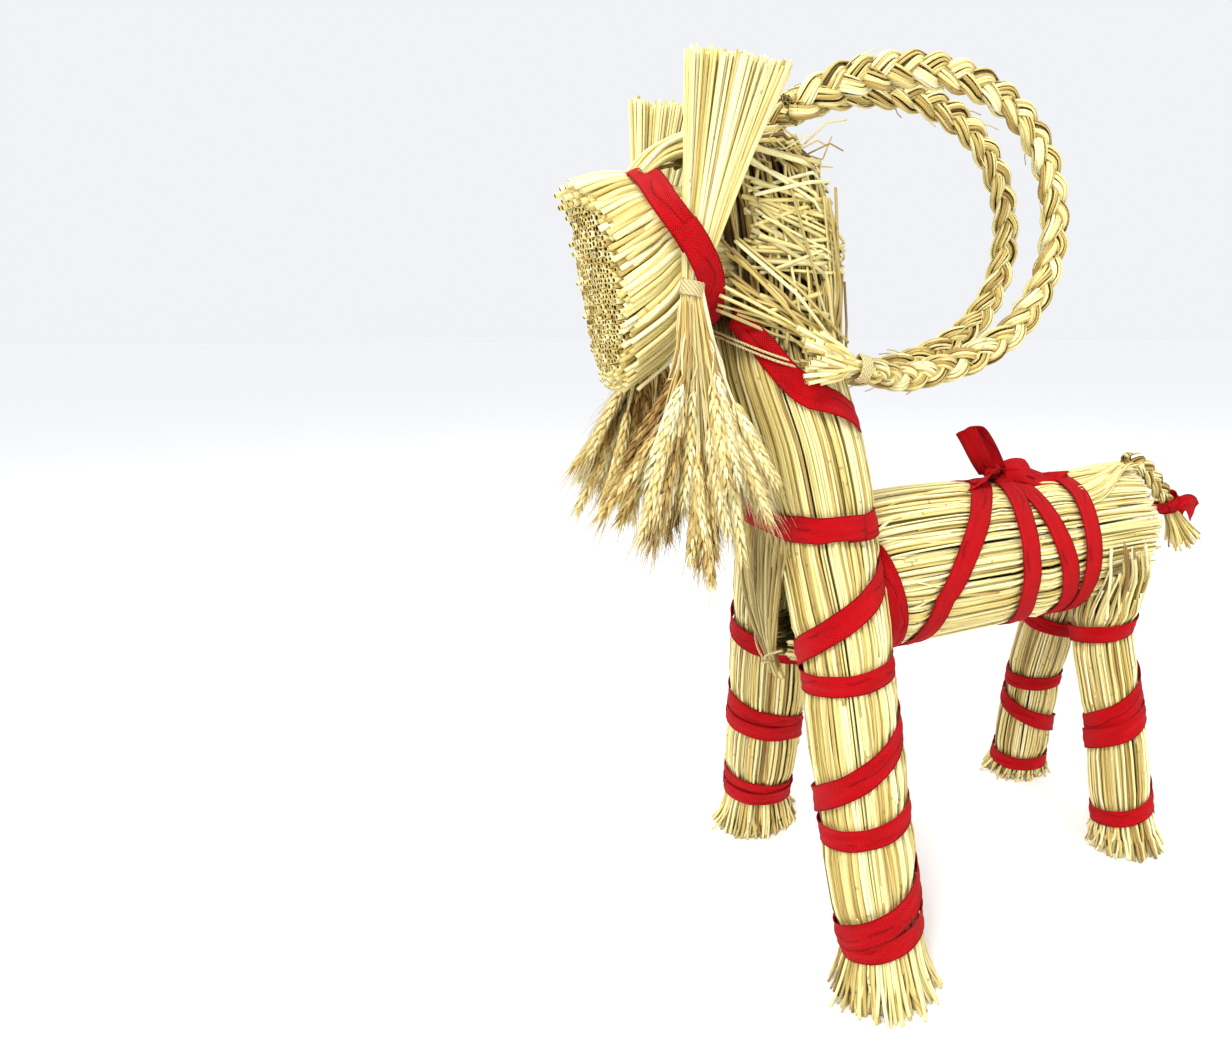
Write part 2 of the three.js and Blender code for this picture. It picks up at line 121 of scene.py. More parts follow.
class Nodes:
    """Short calls for building one material's node tree."""

    def __init__(self, name):
        self.material = bpy.data.materials.new(name)
        self.material.use_nodes = True
        self.tree = self.material.node_tree
        self.shader = self.tree.nodes["Principled BSDF"]

    def new(self, kind, **settings):
        node = self.tree.nodes.new(kind)
        for key, value in settings.items():
            setattr(node, key, value)
        return node

    def feed(self, socket, value):
        if isinstance(value, bpy.types.NodeSocket):
            self.tree.links.new(value, socket)
        else:
            socket.default_value = value

    def math(self, operation, a, b=0.0, c=0.0):
        node = self.new("ShaderNodeMath", operation=operation)
        for socket, value in zip(node.inputs, (a, b, c)):
            self.feed(socket, value)
        return node.outputs[0]

    def parts(self, attribute):
        """The three numbers that a mesh attribute holds at each point."""
        read = self.new("ShaderNodeAttribute", attribute_name=attribute)
        split = self.new("ShaderNodeSeparateXYZ")
        self.feed(split.inputs[0], read.outputs["Vector"])
        return split.outputs

    def join(self, x, y, z):
        node = self.new("ShaderNodeCombineXYZ")
        for socket, value in zip(node.inputs, (x, y, z)):
            self.feed(socket, value)
        return node.outputs[0]

    def noise(self, vector, scale, detail=2.0, roughness=0.5):
        node = self.new("ShaderNodeTexNoise")
        self.feed(node.inputs["Vector"], vector)
        node.inputs["Scale"].default_value = scale
        node.inputs["Detail"].default_value = detail
        node.inputs["Roughness"].default_value = roughness
        return node.outputs["Fac"]

    def ramp(self, factor, *stops):
        node = self.new("ShaderNodeValToRGB")
        self.feed(node.inputs[0], factor)
        line = node.color_ramp
        while len(line.elements) < len(stops):
            line.elements.new(0.5)
        for element, (place, colour) in zip(line.elements, stops):
            element.position = place
            element.color = (*colour, 1)
        return node.outputs["Color"]

    def mix(self, factor, a, b, blend="MIX"):
        node = self.new("ShaderNodeMix", data_type="RGBA", blend_type=blend)
        self.feed(node.inputs["Factor"], factor)
        for socket, value in zip((node.inputs["A"], node.inputs["B"]), (a, b)):
            self.feed(socket, value if isinstance(value, bpy.types.NodeSocket) else (*value, 1))
        return node.outputs["Result"]

    def bump(self, height, distance, strength=1.0):
        node = self.new("ShaderNodeBump")
        self.feed(node.inputs["Height"], height)
        node.inputs["Distance"].default_value = distance
        node.inputs["Strength"].default_value = strength
        self.feed(self.shader.inputs["Normal"], node.outputs["Normal"])


# In straw and thread "mark" holds the tone of the strand from 0 to 1, the distance along it in
# metres, and painted shade for how deep it lies, from 0 on the outside to 1. "skin" holds the
# place round the strand as a cosine and sine, and a number of its own for each strand.

def straw_material(name, stops, joint_every=0.30, shine=0.34):
    """Straw with fibres along it, blotches, a joint now and then, and painted shade where it lies deep.
    Lengths are metres.
    """
    joint = 0.0008
    n = Nodes(name)
    tone, along, painted_shade = n.parts("mark")
    cos, sin, own = n.parts("skin")
    shifted = n.math("ADD", along, n.math("MULTIPLY", own, 3.0))
    fibres = n.noise(n.join(n.math("MULTIPLY", cos, 5.0), n.math("MULTIPLY", sin, 5.0),
                            n.math("MULTIPLY", shifted, 14.0)), 1.0, 3.0, 0.6)
    blotches = n.noise(n.join(cos, sin, n.math("MULTIPLY", shifted, 34.0)), 0.8, 2.0)
    shade = n.math("ADD", tone, n.math("MULTIPLY", n.math("SUBTRACT", fibres, 0.5), 0.9))
    shade = n.math("ADD", shade, n.math("MULTIPLY", n.math("SUBTRACT", blotches, 0.5), 0.55))
    colour = n.ramp(shade, *stops)
    # The stalk's joints: narrow brown rings far apart.
    ring = n.math("FRACT", n.math("DIVIDE", shifted, joint_every))
    ring = n.math("ABSOLUTE", n.math("SUBTRACT", ring, 0.5))
    ring = n.math("LESS_THAN", ring, joint / joint_every)
    colour = n.mix(n.math("MULTIPLY", ring, 0.5), colour, (0.30, 0.17, 0.06))
    # Painted shade: the straws that lie deep, and the bores, are darkened towards brown.
    colour = n.mix(painted_shade, colour, (0.15, 0.085, 0.03), "MULTIPLY")
    n.feed(n.shader.inputs["Base Color"], colour)
    n.feed(n.shader.inputs["Roughness"], n.math("MULTIPLY_ADD", fibres, 0.25, shine))
    n.shader.inputs["Specular IOR Level"].default_value = 0.5
    n.bump(n.math("ADD", fibres, n.math("MULTIPLY", ring, 0.8)), 0.00035, 0.8)
    return n.material


def tape_material(name, colour, dark):
    """Cotton herringbone tape. Its "mark" holds a number of its own for each tape, then the
    distances along and across the tape. Lengths are metres."""
    turn_back, twill_pitch, thread_pitch, selvedge, crease_half = 0.0028, 0.0013, 0.00055, 0.0007, 0.0009
    half = TAPE_WIDTH * MM / 2
    n = Nodes(name)
    tone, along, across = n.parts("mark")
    zigzag = n.math("PINGPONG", across, turn_back)
    line = n.math("MULTIPLY", n.math("ADD", along, zigzag), 2 * math.pi / twill_pitch)
    twill = n.math("MULTIPLY_ADD", n.math("SINE", line), 0.5, 0.5)
    thread = n.math("SINE", n.math("MULTIPLY", across, 2 * math.pi / thread_pitch))
    thread = n.math("MULTIPLY_ADD", thread, 0.5, 0.5)
    cloud = n.join(n.math("MULTIPLY", along, 60.0), n.math("MULTIPLY", across, 160.0), tone)
    cloud = n.noise(cloud, 1.0, 3.0, 0.6)
    edge = n.math("ABSOLUTE", n.math("SUBTRACT", across, half))
    edge = n.math("GREATER_THAN", edge, half - selvedge)
    # Creases wander along the tape where it was folded, and come and go. They are bumped in, and painted
    # shade darkens them.
    drift = n.noise(n.join(n.math("MULTIPLY", along, 22.0), tone, 0.0), 1.0, 2.0)
    off = n.math("ABSOLUTE", n.math("SUBTRACT", across, n.math("MULTIPLY_ADD", drift, 0.024, -0.005)))
    crease = n.math("SUBTRACT", 1.0, n.math("MINIMUM", n.math("DIVIDE", off, crease_half), 1.0))
    present = n.noise(n.join(n.math("MULTIPLY", along, 30.0), n.math("ADD", tone, 5.0), 0.0), 1.0, 1.0)
    crease = n.math("MULTIPLY", crease, n.math("GREATER_THAN", present, 0.52))
    shade = n.math("MULTIPLY_ADD", twill, 0.65, n.math("MULTIPLY", cloud, 0.65))
    shade = n.math("SUBTRACT", shade, n.math("MULTIPLY", edge, 0.3))
    # Painted shade along the creases.
    shade = n.math("SUBTRACT", shade, n.math("MULTIPLY", crease, 0.4))
    n.feed(n.shader.inputs["Base Color"], n.ramp(shade, (0.15, dark), (0.75, colour)))
    n.feed(n.shader.inputs["Roughness"], n.math("MULTIPLY_ADD", twill, 0.12, 0.62))
    n.shader.inputs["Sheen Weight"].default_value = 0.04
    n.shader.inputs["Sheen Roughness"].default_value = 0.4
    n.shader.inputs["Specular IOR Level"].default_value = 0.14
    relief = n.math("MULTIPLY_ADD", thread, 0.35, n.math("MULTIPLY", crease, -1.4))
    n.bump(n.math("ADD", twill, relief), 0.0005, 1.0)
    return n.material


def thread_material(name, colour, dark):
    """Twisted thread: slanting plies round the strand."""
    lay = 0.0022
    n = Nodes(name)
    along = n.parts("mark")[1]
    cos, sin, _ = n.parts("skin")
    angle = n.math("ARCTAN2", sin, cos)
    ply = n.math("SINE", n.math("MULTIPLY_ADD", along, 2 * math.pi / lay, n.math("MULTIPLY", angle, 2.0)))
    fuzz = n.noise(n.join(cos, sin, n.math("MULTIPLY", along, 600.0)), 1.0, 3.0)
    shade = n.math("ADD", n.math("MULTIPLY_ADD", ply, 0.25, 0.4), n.math("MULTIPLY", fuzz, 0.4))
    n.feed(n.shader.inputs["Base Color"], n.ramp(shade, (0.1, dark), (0.9, colour)))
    n.feed(n.shader.inputs["Roughness"], n.math("MULTIPLY_ADD", fuzz, 0.2, 0.65))
    n.bump(n.math("ADD", ply, fuzz), 0.0003, 0.8)
    return n.material


PALE = ((0.0, (0.16, 0.08, 0.020)), (0.16, (0.42, 0.28, 0.078)), (0.40, (0.69, 0.55, 0.190)),
        (0.68, (0.85, 0.75, 0.34)), (1.0, (0.95, 0.90, 0.60)))
GOLD = ((0.0, (0.20, 0.10, 0.025)), (0.22, (0.52, 0.34, 0.10)), (0.48, (0.78, 0.62, 0.25)),
        (0.72, (0.91, 0.81, 0.45)), (1.0, (0.97, 0.94, 0.72)))
MATERIALS = {
    "straw": straw_material("straw", PALE),
    "head": straw_material("rye_head", GOLD, joint_every=9.0, shine=0.45),
    "tape": tape_material("red_tape", (0.70, 0.006, 0.013), (0.22, 0.001, 0.003)),
    "thread": thread_material("thread", (0.78, 0.68, 0.38), (0.42, 0.30, 0.11)),
}


# ---------------------------------------------------------------- lofted strands

def unit(v):
    return v / np.maximum(np.linalg.norm(v, axis=-1, keepdims=True), 1e-9)


def square_to(v, way):
    """The part of v that is square to a direction, as a direction."""
    return unit(v - way * (v * way).sum(-1, keepdims=True))


def slopes(paths):
    return unit(np.gradient(paths, axis=-2))


def distances(paths):
    """How far along its path each point is."""
    steps = np.linalg.norm(np.diff(paths, axis=-2), axis=-1)
    return np.concatenate([np.zeros_like(steps[..., :1]), np.cumsum(steps, -1)], -1)


def spline(a, b, c, d, f):
    """Between b and c on the Catmull-Rom curve through a, b, c and d."""
    return 0.5 * (2 * b + (c - a) * f + (2 * a - 5 * b + 4 * c - d) * f ** 2
                  + (3 * b - a - 3 * c + d) * f ** 3)


class Piece:
    """Collects lofts and makes one object of them."""

    def __init__(self, name, seed, tones=(2.1, 1.6)):
        self.name = name
        self.tones = tones       # the beta distribution that the straws' tones are drawn from
        self.rng = np.random.default_rng(seed)
        self.points, self.marks, self.skins = [], [], []
        self.loops, self.sizes, self.slots, self.rounded = [], [], [], []
        self.count = 0
        self.cut = None          # width, length and hold of the tape that the piece is made of

    def loft(self, rings, marks, skins, material="straw", crisp=0):
        """Closed lofts through rings (strand, ring, point, xyz), with an end cap on each end.
        The crisp outermost bands at each end are shaded flat."""
        s, m, k = rings.shape[:3]
        start = self.count + np.arange(s)[:, None, None] * m * k
        row = start + np.arange(m)[None, :, None] * k
        here, there = np.arange(k), (np.arange(k) + 1) % k
        quads = np.stack([row[:, :-1] + here, row[:, :-1] + there, row[:, 1:] + there, row[:, 1:] + here], -1)
        caps = row[:, 0] + here[::-1], row[:, -1] + here
        self.loops += [corners.reshape(-1) for corners in (quads, *caps)]
        self.sizes += [np.full(s * (m - 1) * k, 4), np.full(2 * s, k)]
        self.slots += [np.full(s * (m - 1) * k + 2 * s, list(MATERIALS).index(material))]
        band = np.arange(m - 1)
        soft = (band >= crisp) & (band < m - 1 - crisp)
        self.rounded += [np.tile(np.repeat(soft, k), s), np.zeros(2 * s, bool)]
        self.points.append(rings.reshape(-1, 3))
        self.marks.append(np.broadcast_to(marks, rings.shape).reshape(-1, 3))
        self.skins.append(np.broadcast_to(skins, rings.shape).reshape(-1, 3))
        self.count += s * m * k

    def finish(self, body, *nodes, material="straw"):
        """The object itself, riding on a body in place of CAD nodes."""
        mesh = bpy.data.meshes.new(self.name)
        points = np.concatenate(self.points) * MM
        loops, sizes = np.concatenate(self.loops), np.concatenate(self.sizes)
        mesh.vertices.add(len(points))
        mesh.vertices.foreach_set("co", points.astype(np.float32).ravel())
        mesh.loops.add(len(loops))
        mesh.loops.foreach_set("vertex_index", loops.astype(np.int32))
        mesh.polygons.add(len(sizes))
        starts = np.concatenate([[0], np.cumsum(sizes)[:-1]]).astype(np.int32)
        mesh.polygons.foreach_set("loop_start", starts)
        for name, data in (("mark", self.marks), ("skin", self.skins)):
            layer = mesh.attributes.new(name, "FLOAT_VECTOR", "POINT")
            layer.data.foreach_set("vector", np.concatenate(data).astype(np.float32).ravel())
        used = np.unique(np.concatenate(self.slots))
        for index in used:
            mesh.materials.append(MATERIALS[list(MATERIALS)[index]])
        slots = np.searchsorted(used, np.concatenate(self.slots)).astype(np.int32)
        mesh.polygons.foreach_set("material_index", slots)
        mesh.update(calc_edges=True)
        mesh.polygons.foreach_set("use_smooth", np.concatenate(self.rounded))
        thing = bpy.data.objects.new(self.name, mesh)
        bpy.context.scene.collection.objects.link(thing)
        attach(thing, body)
        if nodes:
            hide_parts(*nodes)

    def tubes(self, centres, sizes, up, side, flat, sides, tone, run, painted_ring_shade, material, crisp=0):
        """Round or oval tubes about centre lines (strand, point, xyz)."""
        angle = 2 * np.pi * np.arange(sides) / sides
        cos, sin = np.cos(angle)[:, None], np.sin(angle)[:, None]
        rings = centres[:, :, None] + sizes[:, :, None, None] * (
            side[:, :, None] * cos + up[:, :, None] * sin * flat)
        rings = rings[:, :, ::-1]
        marks = np.zeros(rings.shape)
        marks[..., 0] = tone[:, None, None]
        marks[..., 1] = run[..., None] * MM
        # The painted shade, ring by ring.
        marks[..., 2] = painted_ring_shade[..., None]
        skins = np.zeros(rings.shape)
        skins[..., 0], skins[..., 1] = np.cos(angle)[::-1], np.sin(angle)[::-1]
        skins[..., 2] = self.rng.random(len(rings))[:, None, None]
        self.loft(rings, marks, skins, material, crisp)

    def strands(self, paths, radius=STRAW_R, out=X, tone=None, painted_shade=0.0, sides=6, flat=1.0,
                material="straw", hollow=True, taper=1.0):
        """Round or flattened straws along paths (strand, point, xyz). flat squashes each along out.
        hollow ends show the bore. taper is how wide the last point is beside the first."""
        s, n = paths.shape[:2]
        radius = np.asarray(radius, float)
        if radius.ndim < 2:
            radius = radius.reshape(-1, 1)
        radius = np.broadcast_to(radius, (s, n)) * np.linspace(1, taper, n)
        along = slopes(paths)
        out = np.broadcast_to(out, paths.shape)
        up = square_to(out, along)
        side = np.cross(along, up)
        run = distances(paths)
        if tone is None:
            tone = self.rng.beta(*self.tones, s)
        tone = np.broadcast_to(tone, s)
        painted_shade = np.asarray(painted_shade, float)
        painted_shade = np.broadcast_to(painted_shade if painted_shade.ndim == 2 else painted_shade.reshape(-1, 1), (s, n))
        # Rings past each end: how far in, how wide, and how much painted shade, which paints the bore dark.
        closing = [(4.5, 0.70, 1.0), (0.4, 0.74, 0.92), (0.0, 0.78, 0.22)] if hollow else [(0.0, 0.5, 0.0)]
        shift, share, dark = np.array(closing).T
        first = (paths[:, :1] + along[:, :1] * shift[:, None], radius[:, :1] * share, np.tile(dark, (s, 1)))
        last = (paths[:, -1:] - along[:, -1:] * shift[::-1, None], radius[:, -1:] * share[::-1],
                np.tile(dark[::-1], (s, 1)))
        middle = paths, radius, painted_shade
        centres, sizes, painted_ring_shade = (np.concatenate(parts, 1) for parts in zip(first, middle, last))
        pad = (len(closing), len(closing))
        up, side = (np.pad(x, ((0, 0), pad, (0, 0)), mode="edge") for x in (up, side))
        run = np.pad(run, ((0, 0), pad), mode="edge")
        flat = np.broadcast_to(np.asarray(flat, float).reshape(-1, 1, 1, 1), (s, 1, 1, 1))
        self.tubes(centres, sizes, up, side, flat, sides, tone, run, painted_ring_shade, material, crisp=len(closing))

    def thread(self, paths, out, radius=THREAD_R):
        self.strands(paths, radius, out, tone=0.5, hollow=False, material="thread")

    def wander(self, s, n, size, waves=1.5):
        """Smooth random curves, one a strand, from -size to size."""
        t = np.linspace(0, 1, n)
        total = np.zeros((s, n))
        for k in (0.5, 1.0, 2.0):
            phase = self.rng.random((s, 1)) * 2 * np.pi
            total += np.sin(2 * np.pi * waves * k * t + phase) * self.rng.normal(0, 0.45, (s, 1)) / k ** 0.5
        return np.clip(total, -1.6, 1.6) * size

    def tape(self, places, out, width=TAPE_WIDTH, fold=0.35, curl=0.0, ends=0.0, held="stretched"):
        """A woven tape along places, its face looking out. width is one number or one for each
        place. fold makes lengthwise creases, curl bends the edges, and ends cuts the last end
        on a slant."""
        places, out = np.asarray(places, float), np.asarray(out, float)
        n, across = len(places), np.linspace(-1, 1, 9)
        width = np.broadcast_to(np.asarray(width, float), n)
        along = slopes(places)
        side = unit(np.cross(along, out))
        up = unit(np.cross(side, along))
        run = distances(places)
        crease = sum(np.sin(across * f + self.wander(1, n, 1.4, 2 + run[-1] / 90)[0][:, None] + p)
                     for f, p in ((3.1, 0.4), (5.3, 2.0)))
        lift = fold * 0.5 * crease + curl * across ** 2
        half = width[:, None] / 2 * (1 + self.wander(1, n, 0.03, run[-1] / 40)[0][:, None])
        slip = self.wander(1, n, 0.35, run[-1] / 60)[0][:, None]
        face = places[:, None] + side[:, None] * (half * across + slip)[..., None]
        face = face + up[:, None] * lift[..., None]
        if ends:
            slant = ends * across[None, :, None] * np.linspace(0, 1, n)[:, None, None] ** 6
            face = face + along[:, None] * slant
        rings = np.concatenate([face + up[:, None] * TAPE_THICK, face[:, ::-1]], 1)[None]
        marks = np.zeros(rings.shape)
        marks[..., 0] = self.rng.random() * 9
        marks[..., 1] = run[None, :, None] * MM
        marks[..., 2] = (np.concatenate([across, across[::-1]]) + 1) * width[:, None] / 2 * MM
        if np.cross(along[0], side[0]) @ up[0] > 0:
            rings = rings[:, :, ::-1]
            marks = marks[:, :, ::-1]
        self.loft(rings, marks, 0.0, "tape")
        self.cut = width.max(), run[-1], held


# ---------------------------------------------------------------- the shapes that the straw follows

class Bundle:
    """The outline of a bundle: rows of centre x, y, z, half sizes a and b, and squareness e."""

    def __init__(self, rows, flat=None):
        self.rows = np.array([list(r) + [2.0] * (6 - len(r)) for r in rows], float)
        self.flat = flat

    def centre(self, t):
        p, last = self.rows[:, :3], len(self.rows) - 1
        s = np.clip(t, 0, 1) * last
        i = np.minimum(s.astype(int), last - 1)
        f = (s - i)[..., None]
        a, b, c, d = (p[np.clip(i + k, 0, last)] for k in (-1, 0, 1, 2))
        a = np.where((i == 0)[..., None], 2 * b - c, a)
        d = np.where((i == last - 1)[..., None], 2 * c - b, d)
        return spline(a, b, c, d, f)

    def at(self, t):
        """Centre, direction, the two cross directions, half sizes and squareness."""
        t = np.asarray(t, float)
        step = 0.004
        ahead, behind = self.centre(np.minimum(t + step, 1)), self.centre(np.maximum(t - step, 0))
        along = unit(ahead - behind)
        if self.flat is not None:
            u, v = (np.broadcast_to(w, along.shape) for w in self.flat)
        else:
            u = unit(X - along * along[..., :1])
            v = np.cross(along, u)
        keys = np.linspace(0, 1, len(self.rows))
        a, b, e = (np.interp(np.clip(t, 0, 1), keys, self.rows[:, k]) for k in (3, 4, 5))
        return self.centre(t), along, u, v, a, b, e

    def skin(self, t, degrees, lift=0.0):
        """Points on the outline and the directions out of it."""
        c, along, u, v, a, b, e = self.at(t)
        angle = np.radians(degrees)
        cos, sin = (np.sign(w) * np.abs(w) ** (2 / e) for w in (np.cos(angle), np.sin(angle)))
        out = unit(u * (cos / a)[..., None] + v * (sin / b)[..., None])
        p = c + u * (a * cos)[..., None] + v * (b * sin)[..., None]
        out = square_to(out, along)
        return p + out * np.asarray(lift, float)[..., None], out

    def find(self, value, axis):
        """The t at which the centre line reaches a value of x, y or z."""
        t = np.linspace(0, 1, 400)
        level = self.centre(t)[:, axis]
        if level[0] > level[-1]:
            t, level = t[::-1], level[::-1]
        return np.interp(value, level, t)


def sided(rows, side):
    """Rows made for the left side, turned over for the right."""
    return [[side * x, *rest] for x, *rest in rows]


FRONT = [
    [97, -109.5, 0, 29.6, 28.6], [95, -109.5, 9, 27.2, 26.2], [92, -109.5, 24, 23.8, 23.0],
    [84.4, -109.5, 50, 25.8, 25.0], [73, -109.5, 88, 26.8, 25.8], [57, -109.5, 157, 26.6, 25.8],
    [43.5, -109.5, 204, 27, 26.5],
    [29, -109.5, 240, 28.3, 27.6, 2.3], [27.6, -110, 256, 27.2, 26.8, 2.4],
    [26, -116.5, 296, 25.6, 26.5, 2.4], [21.6, -127.5, 345, 21.2, 27.5, 2.3],
    [18.6, -129, 400, 18.2, 36, 2.2], [16.4, -134.5, 438, 16, 31.5, 2.1], [13.4, -136, 450, 12.9, 23],
]
REAR = [
    [62, 109.5, 0, 26, 25], [60, 109.5, 9, 24.4, 23.4], [57, 109.5, 20, 22.6, 21.8],
    [43.5, 109.5, 90, 21.8, 21.4], [27.5, 109.5, 143, 22.2, 21.6], [28, 109.5, 166, 26.5, 21.5],
    [42, 108, 196, 21, 19.5], [50, 107, 224, 7.5, 17],
]
BODY = Bundle([
    [0, -139, 194, 14, 26], [0, -112, 198, 32, 38], [0, -82, 207, 46, 48], [0, -40, BODY_Z, 49.5, 49.5],
    [0, 60, BODY_Z, 48.5, 48.5], [0, 120, BODY_Z + 0.5, 46.5, 47], [0, 152, BODY_Z, 45, 45],
    [0, 167, BODY_Z - 1, 41, 39], [0, 178, BODY_Z - 2, 34, 31],
], (X, Z))
HEAD = Bundle([
    [0, -109, 240, 58, 30, 3.2], [0, -110, 256, 56, 28.5, 3.2], [0, -116.5, 296, 53, 28, 3.2],
    [0, -127.5, 345, 44.4, 28.5, 2.8], [0, -129, 400, 38.8, 36.5, 2.5], [0, -134.5, 438, 34, 31.5, 2.4],
    [0, -136, 450, 28, 23.5, 2.4],
], (X, Y))
HORN = [
    [HORN_X, -124, 462, 8.6, 8.6],
    *([HORN_X, y, z, 9, 9] for y, z in ((-92, 480), (-56, 490), (-20, 491), (14, 481), (39, 459), (51, 427),
                                        (48, 393), (29, 361), (-3, 341))),
    [HORN_X + 1, -36, 332, 8.6, 8.6],
    [HORN_X + 8, -62, 329, 8.2, 8.2], [HORN_X + 23, -86, 332, 7.4, 7.4], [HORN_X + 31, -101, 336, 6.4, 6.4],
]
TAIL = Bundle([
    [0, 143, 260, 8.4, 7.6], [0, 158, 260.5, 9, 8.6], [0, 171, 254, 9, 8.8],
    [0, 183, 243.5, 9, 8.8], [0, 193, 232, 8.6, 8.6], [0, 200, 222, 7.6, 7.6],
])

# The tapes that wind down the legs: degrees from +X towards +Y, height of the tape's middle.
FRONT_TAPES = {
    1: [(70, 230), (60, 226), (-120, 178), (-300, 176), (-480, 168), (-660, 144), (-840, 100), (-1020, 98),
        (-1200, 86), (-1380, 60), (-1560, 30), (-1740, 41), (-1920, 26)],
    -1: [(48, 196), (-68, 171), (-248, 141), (-428, 115), (-608, 86), (-788, 101), (-968, 83),
         (-1148, 50), (-1328, 30), (-1508, 38), (-1688, 28)],
}
REAR_TAPES = {
    1: [(60, 157), (43, 157), (-137, 145), (-317, 113), (-497, 79), (-677, 97), (-857, 70), (-1037, 33),
        (-1217, 18), (-1397, 26)],
    -1: [(-29, 150), (-49, 148), (-229, 132), (-409, 88), (-589, 89), (-769, 73), (-949, 46), (-1129, 16),
         (-1309, 13), (-1489, 20)],
}


def tape_turns(tape):
    """How far round each point of a leg's tape is from its start, and the points' heights."""
    start = tape[0][0]
    return np.array([abs(d - start) for d, _ in tape]), np.array([h for _, h in tape])


def tape_squeeze(tape, side, degrees, height):
    """How far a winding tape presses the straw in, at each angle and height."""
    turns, heights = tape_turns(tape)
    seen = degrees if side > 0 else 180 - degrees
    first = (tape[0][0] - seen) % 360
    pressed = np.zeros(np.shape(degrees))
    for turn in range(int(turns[-1] // 360) + 1):
        here = first + 360 * turn
        gap = np.where(here <= turns[-1], np.abs(np.interp(here, turns, heights) - height), 99)
        pressed = np.maximum(pressed, np.exp(-(gap / TAPE_REACH) ** 4))
    return pressed * TAPE_PRESS


# ---------------------------------------------------------------- bundles of straw

def scatter(rng, number, *spans):
    """Random points, evenly spread between the limits given for x, y and z."""
    return np.stack([rng.uniform(*span, number) for span in spans], -1)


def straw_layer(piece, bundle, number, depth, span, points, squeeze, drift=5.0, rough=0.5, radius=STRAW_R,
                painted_shade=0.0, splay=0.0, fan=0.0):
    """One layer of straws along a bundle, at a depth under its outline. span is the (t0, t1) of
    each straw, as numbers or arrays. squeeze(degrees, centre) says how far the straw is pressed
    in. The painted shade for the layer may depend on the height. The straws turn aside by fan
    towards a rear leg's top, and stand off by splay at a foot."""
    rng = piece.rng
    fan_base, fan_height, foot = 165, 50, 18
    start = np.linspace(0, 360, number, endpoint=False) + rng.normal(0, 0.9, number)
    t0, t1 = (np.broadcast_to(w, number)[:, None] for w in span)
    t = t0 + (t1 - t0) * np.linspace(0, 1, points)
    degrees = start[:, None] + piece.wander(number, points, drift * 0.4, 0.8)
    degrees = degrees + rng.normal(0, drift, (number, 1)) * (np.linspace(0, 1, points) - 0.5)
    radii = radius * rng.uniform(0.6, 1.3, number)
    lift = -depth - radii[:, None] + piece.wander(number, points, rough, 1.0)
    lift = lift + rng.normal(0, rough, (number, 1))
    centre = bundle.centre(t)
    pressed = squeeze(degrees, centre)
    # Under a tape no straw stands proud of the outline.
    cap = 3 * (1 - np.minimum(pressed / 1.2, 1)) - radii[:, None] - 0.5
    lift = np.minimum(lift - pressed, cap)
    if fan:
        spread = np.clip((centre[..., 2] - fan_base) / fan_height, 0, 1)
        degrees = degrees + fan * spread * rng.normal(0, 1, (number, 1))
    if splay:
        spread = np.clip((foot - centre[..., 2]) / foot, 0, 1) ** 1.6
        lift = lift + spread * splay * rng.normal(0.35, 0.6, (number, 1))
        degrees = degrees + spread * rng.normal(0, 5, (number, 1))
    paths, out = bundle.skin(t, degrees, lift)
    # The painted shade, at each point of each straw.
    shade = painted_shade(paths[..., 2]) if callable(painted_shade) else painted_shade
    piece.strands(paths, radii, out, flat=rng.uniform(0.66, 1.0, number), painted_shade=shade,
                  sides=5 if depth > 2 else 6)


def front_bundle(side):
    """Leg, neck and head half on one side."""
    name = SIDE_NAMES[side]
    piece = Piece(f"straw_front_{name}", 11 + side)
    bundle = Bundle(sided(FRONT, side), (X, Y))
    rng = piece.rng

    def squeeze(degrees, centre):
        height = centre[..., 2]
        pressed = tape_squeeze(FRONT_TAPES[side], side, degrees, height)
        neck = np.exp(-((height - NECK_TAPE_Z) / 9) ** 2) * 1.4
        # In the head the straws draw in under the windings.
        loose = 4.5 * np.clip((height - 335) / 40, 0, 1)
        return np.maximum(pressed, neck) + loose

    # Painted shade for the head part, where the straws lie in under the windings.
    def in_head(z):
        return np.clip((z - 336) / 22, 0, 1)

    # The deeper layers get more painted shade.
    number = 84
    base = rng.uniform(-0.002, 0.008, number)
    straw_layer(piece, bundle, number, 0.1, (base, rng.uniform(0.90, 0.99, number)), 60, squeeze, splay=4,
                painted_shade=lambda z: 0.95 * in_head(z), rough=0.65)
    straw_layer(piece, bundle, 70, 2.0, (rng.uniform(0, 0.014, 70), 0.96), 44, squeeze, splay=3,
                painted_shade=lambda z: 0.25 + 0.75 * in_head(z))
    straw_layer(piece, bundle, 50, 4.4, (rng.uniform(0, 0.014, 50), 0.92), 30, squeeze, painted_shade=0.8)
    # Straws that end part of the way, so that the surface isn't too even.
    short = 30
    low = rng.uniform(0, 0.55, short)
    straw_layer(piece, bundle, short, -0.3, (low, low + rng.uniform(0.12, 0.4, short)), 30, squeeze, drift=9,
                radius=0.85)
    # Straws that fill the cut end at the foot, with a little painted shade.
    piece.strands(rings_inside(bundle, rng, 150, 0.0), FILL_R, painted_shade=0.2)
    piece.finish("goat", f"front_bundle_{name}")


def rings_inside(bundle, rng, number, t, length=0.05, reach=0.86):
    """Short straws that fill a bundle's cut end at t, out to a share of its half sizes."""
    radius = reach * np.sqrt(rng.random(number))
    degrees = np.degrees(rng.random(number) * 2 * np.pi)
    run = t + np.linspace(0, length if t < 0.5 else -length, 4) + rng.uniform(0, 0.004, (number, 1))
    c, _, u, v, a, b, _ = bundle.at(run)
    angle = np.radians(degrees)[:, None]
    return (c + u * (a * radius[:, None] * np.cos(angle))[..., None]
            + v * (b * radius[:, None] * np.sin(angle))[..., None])


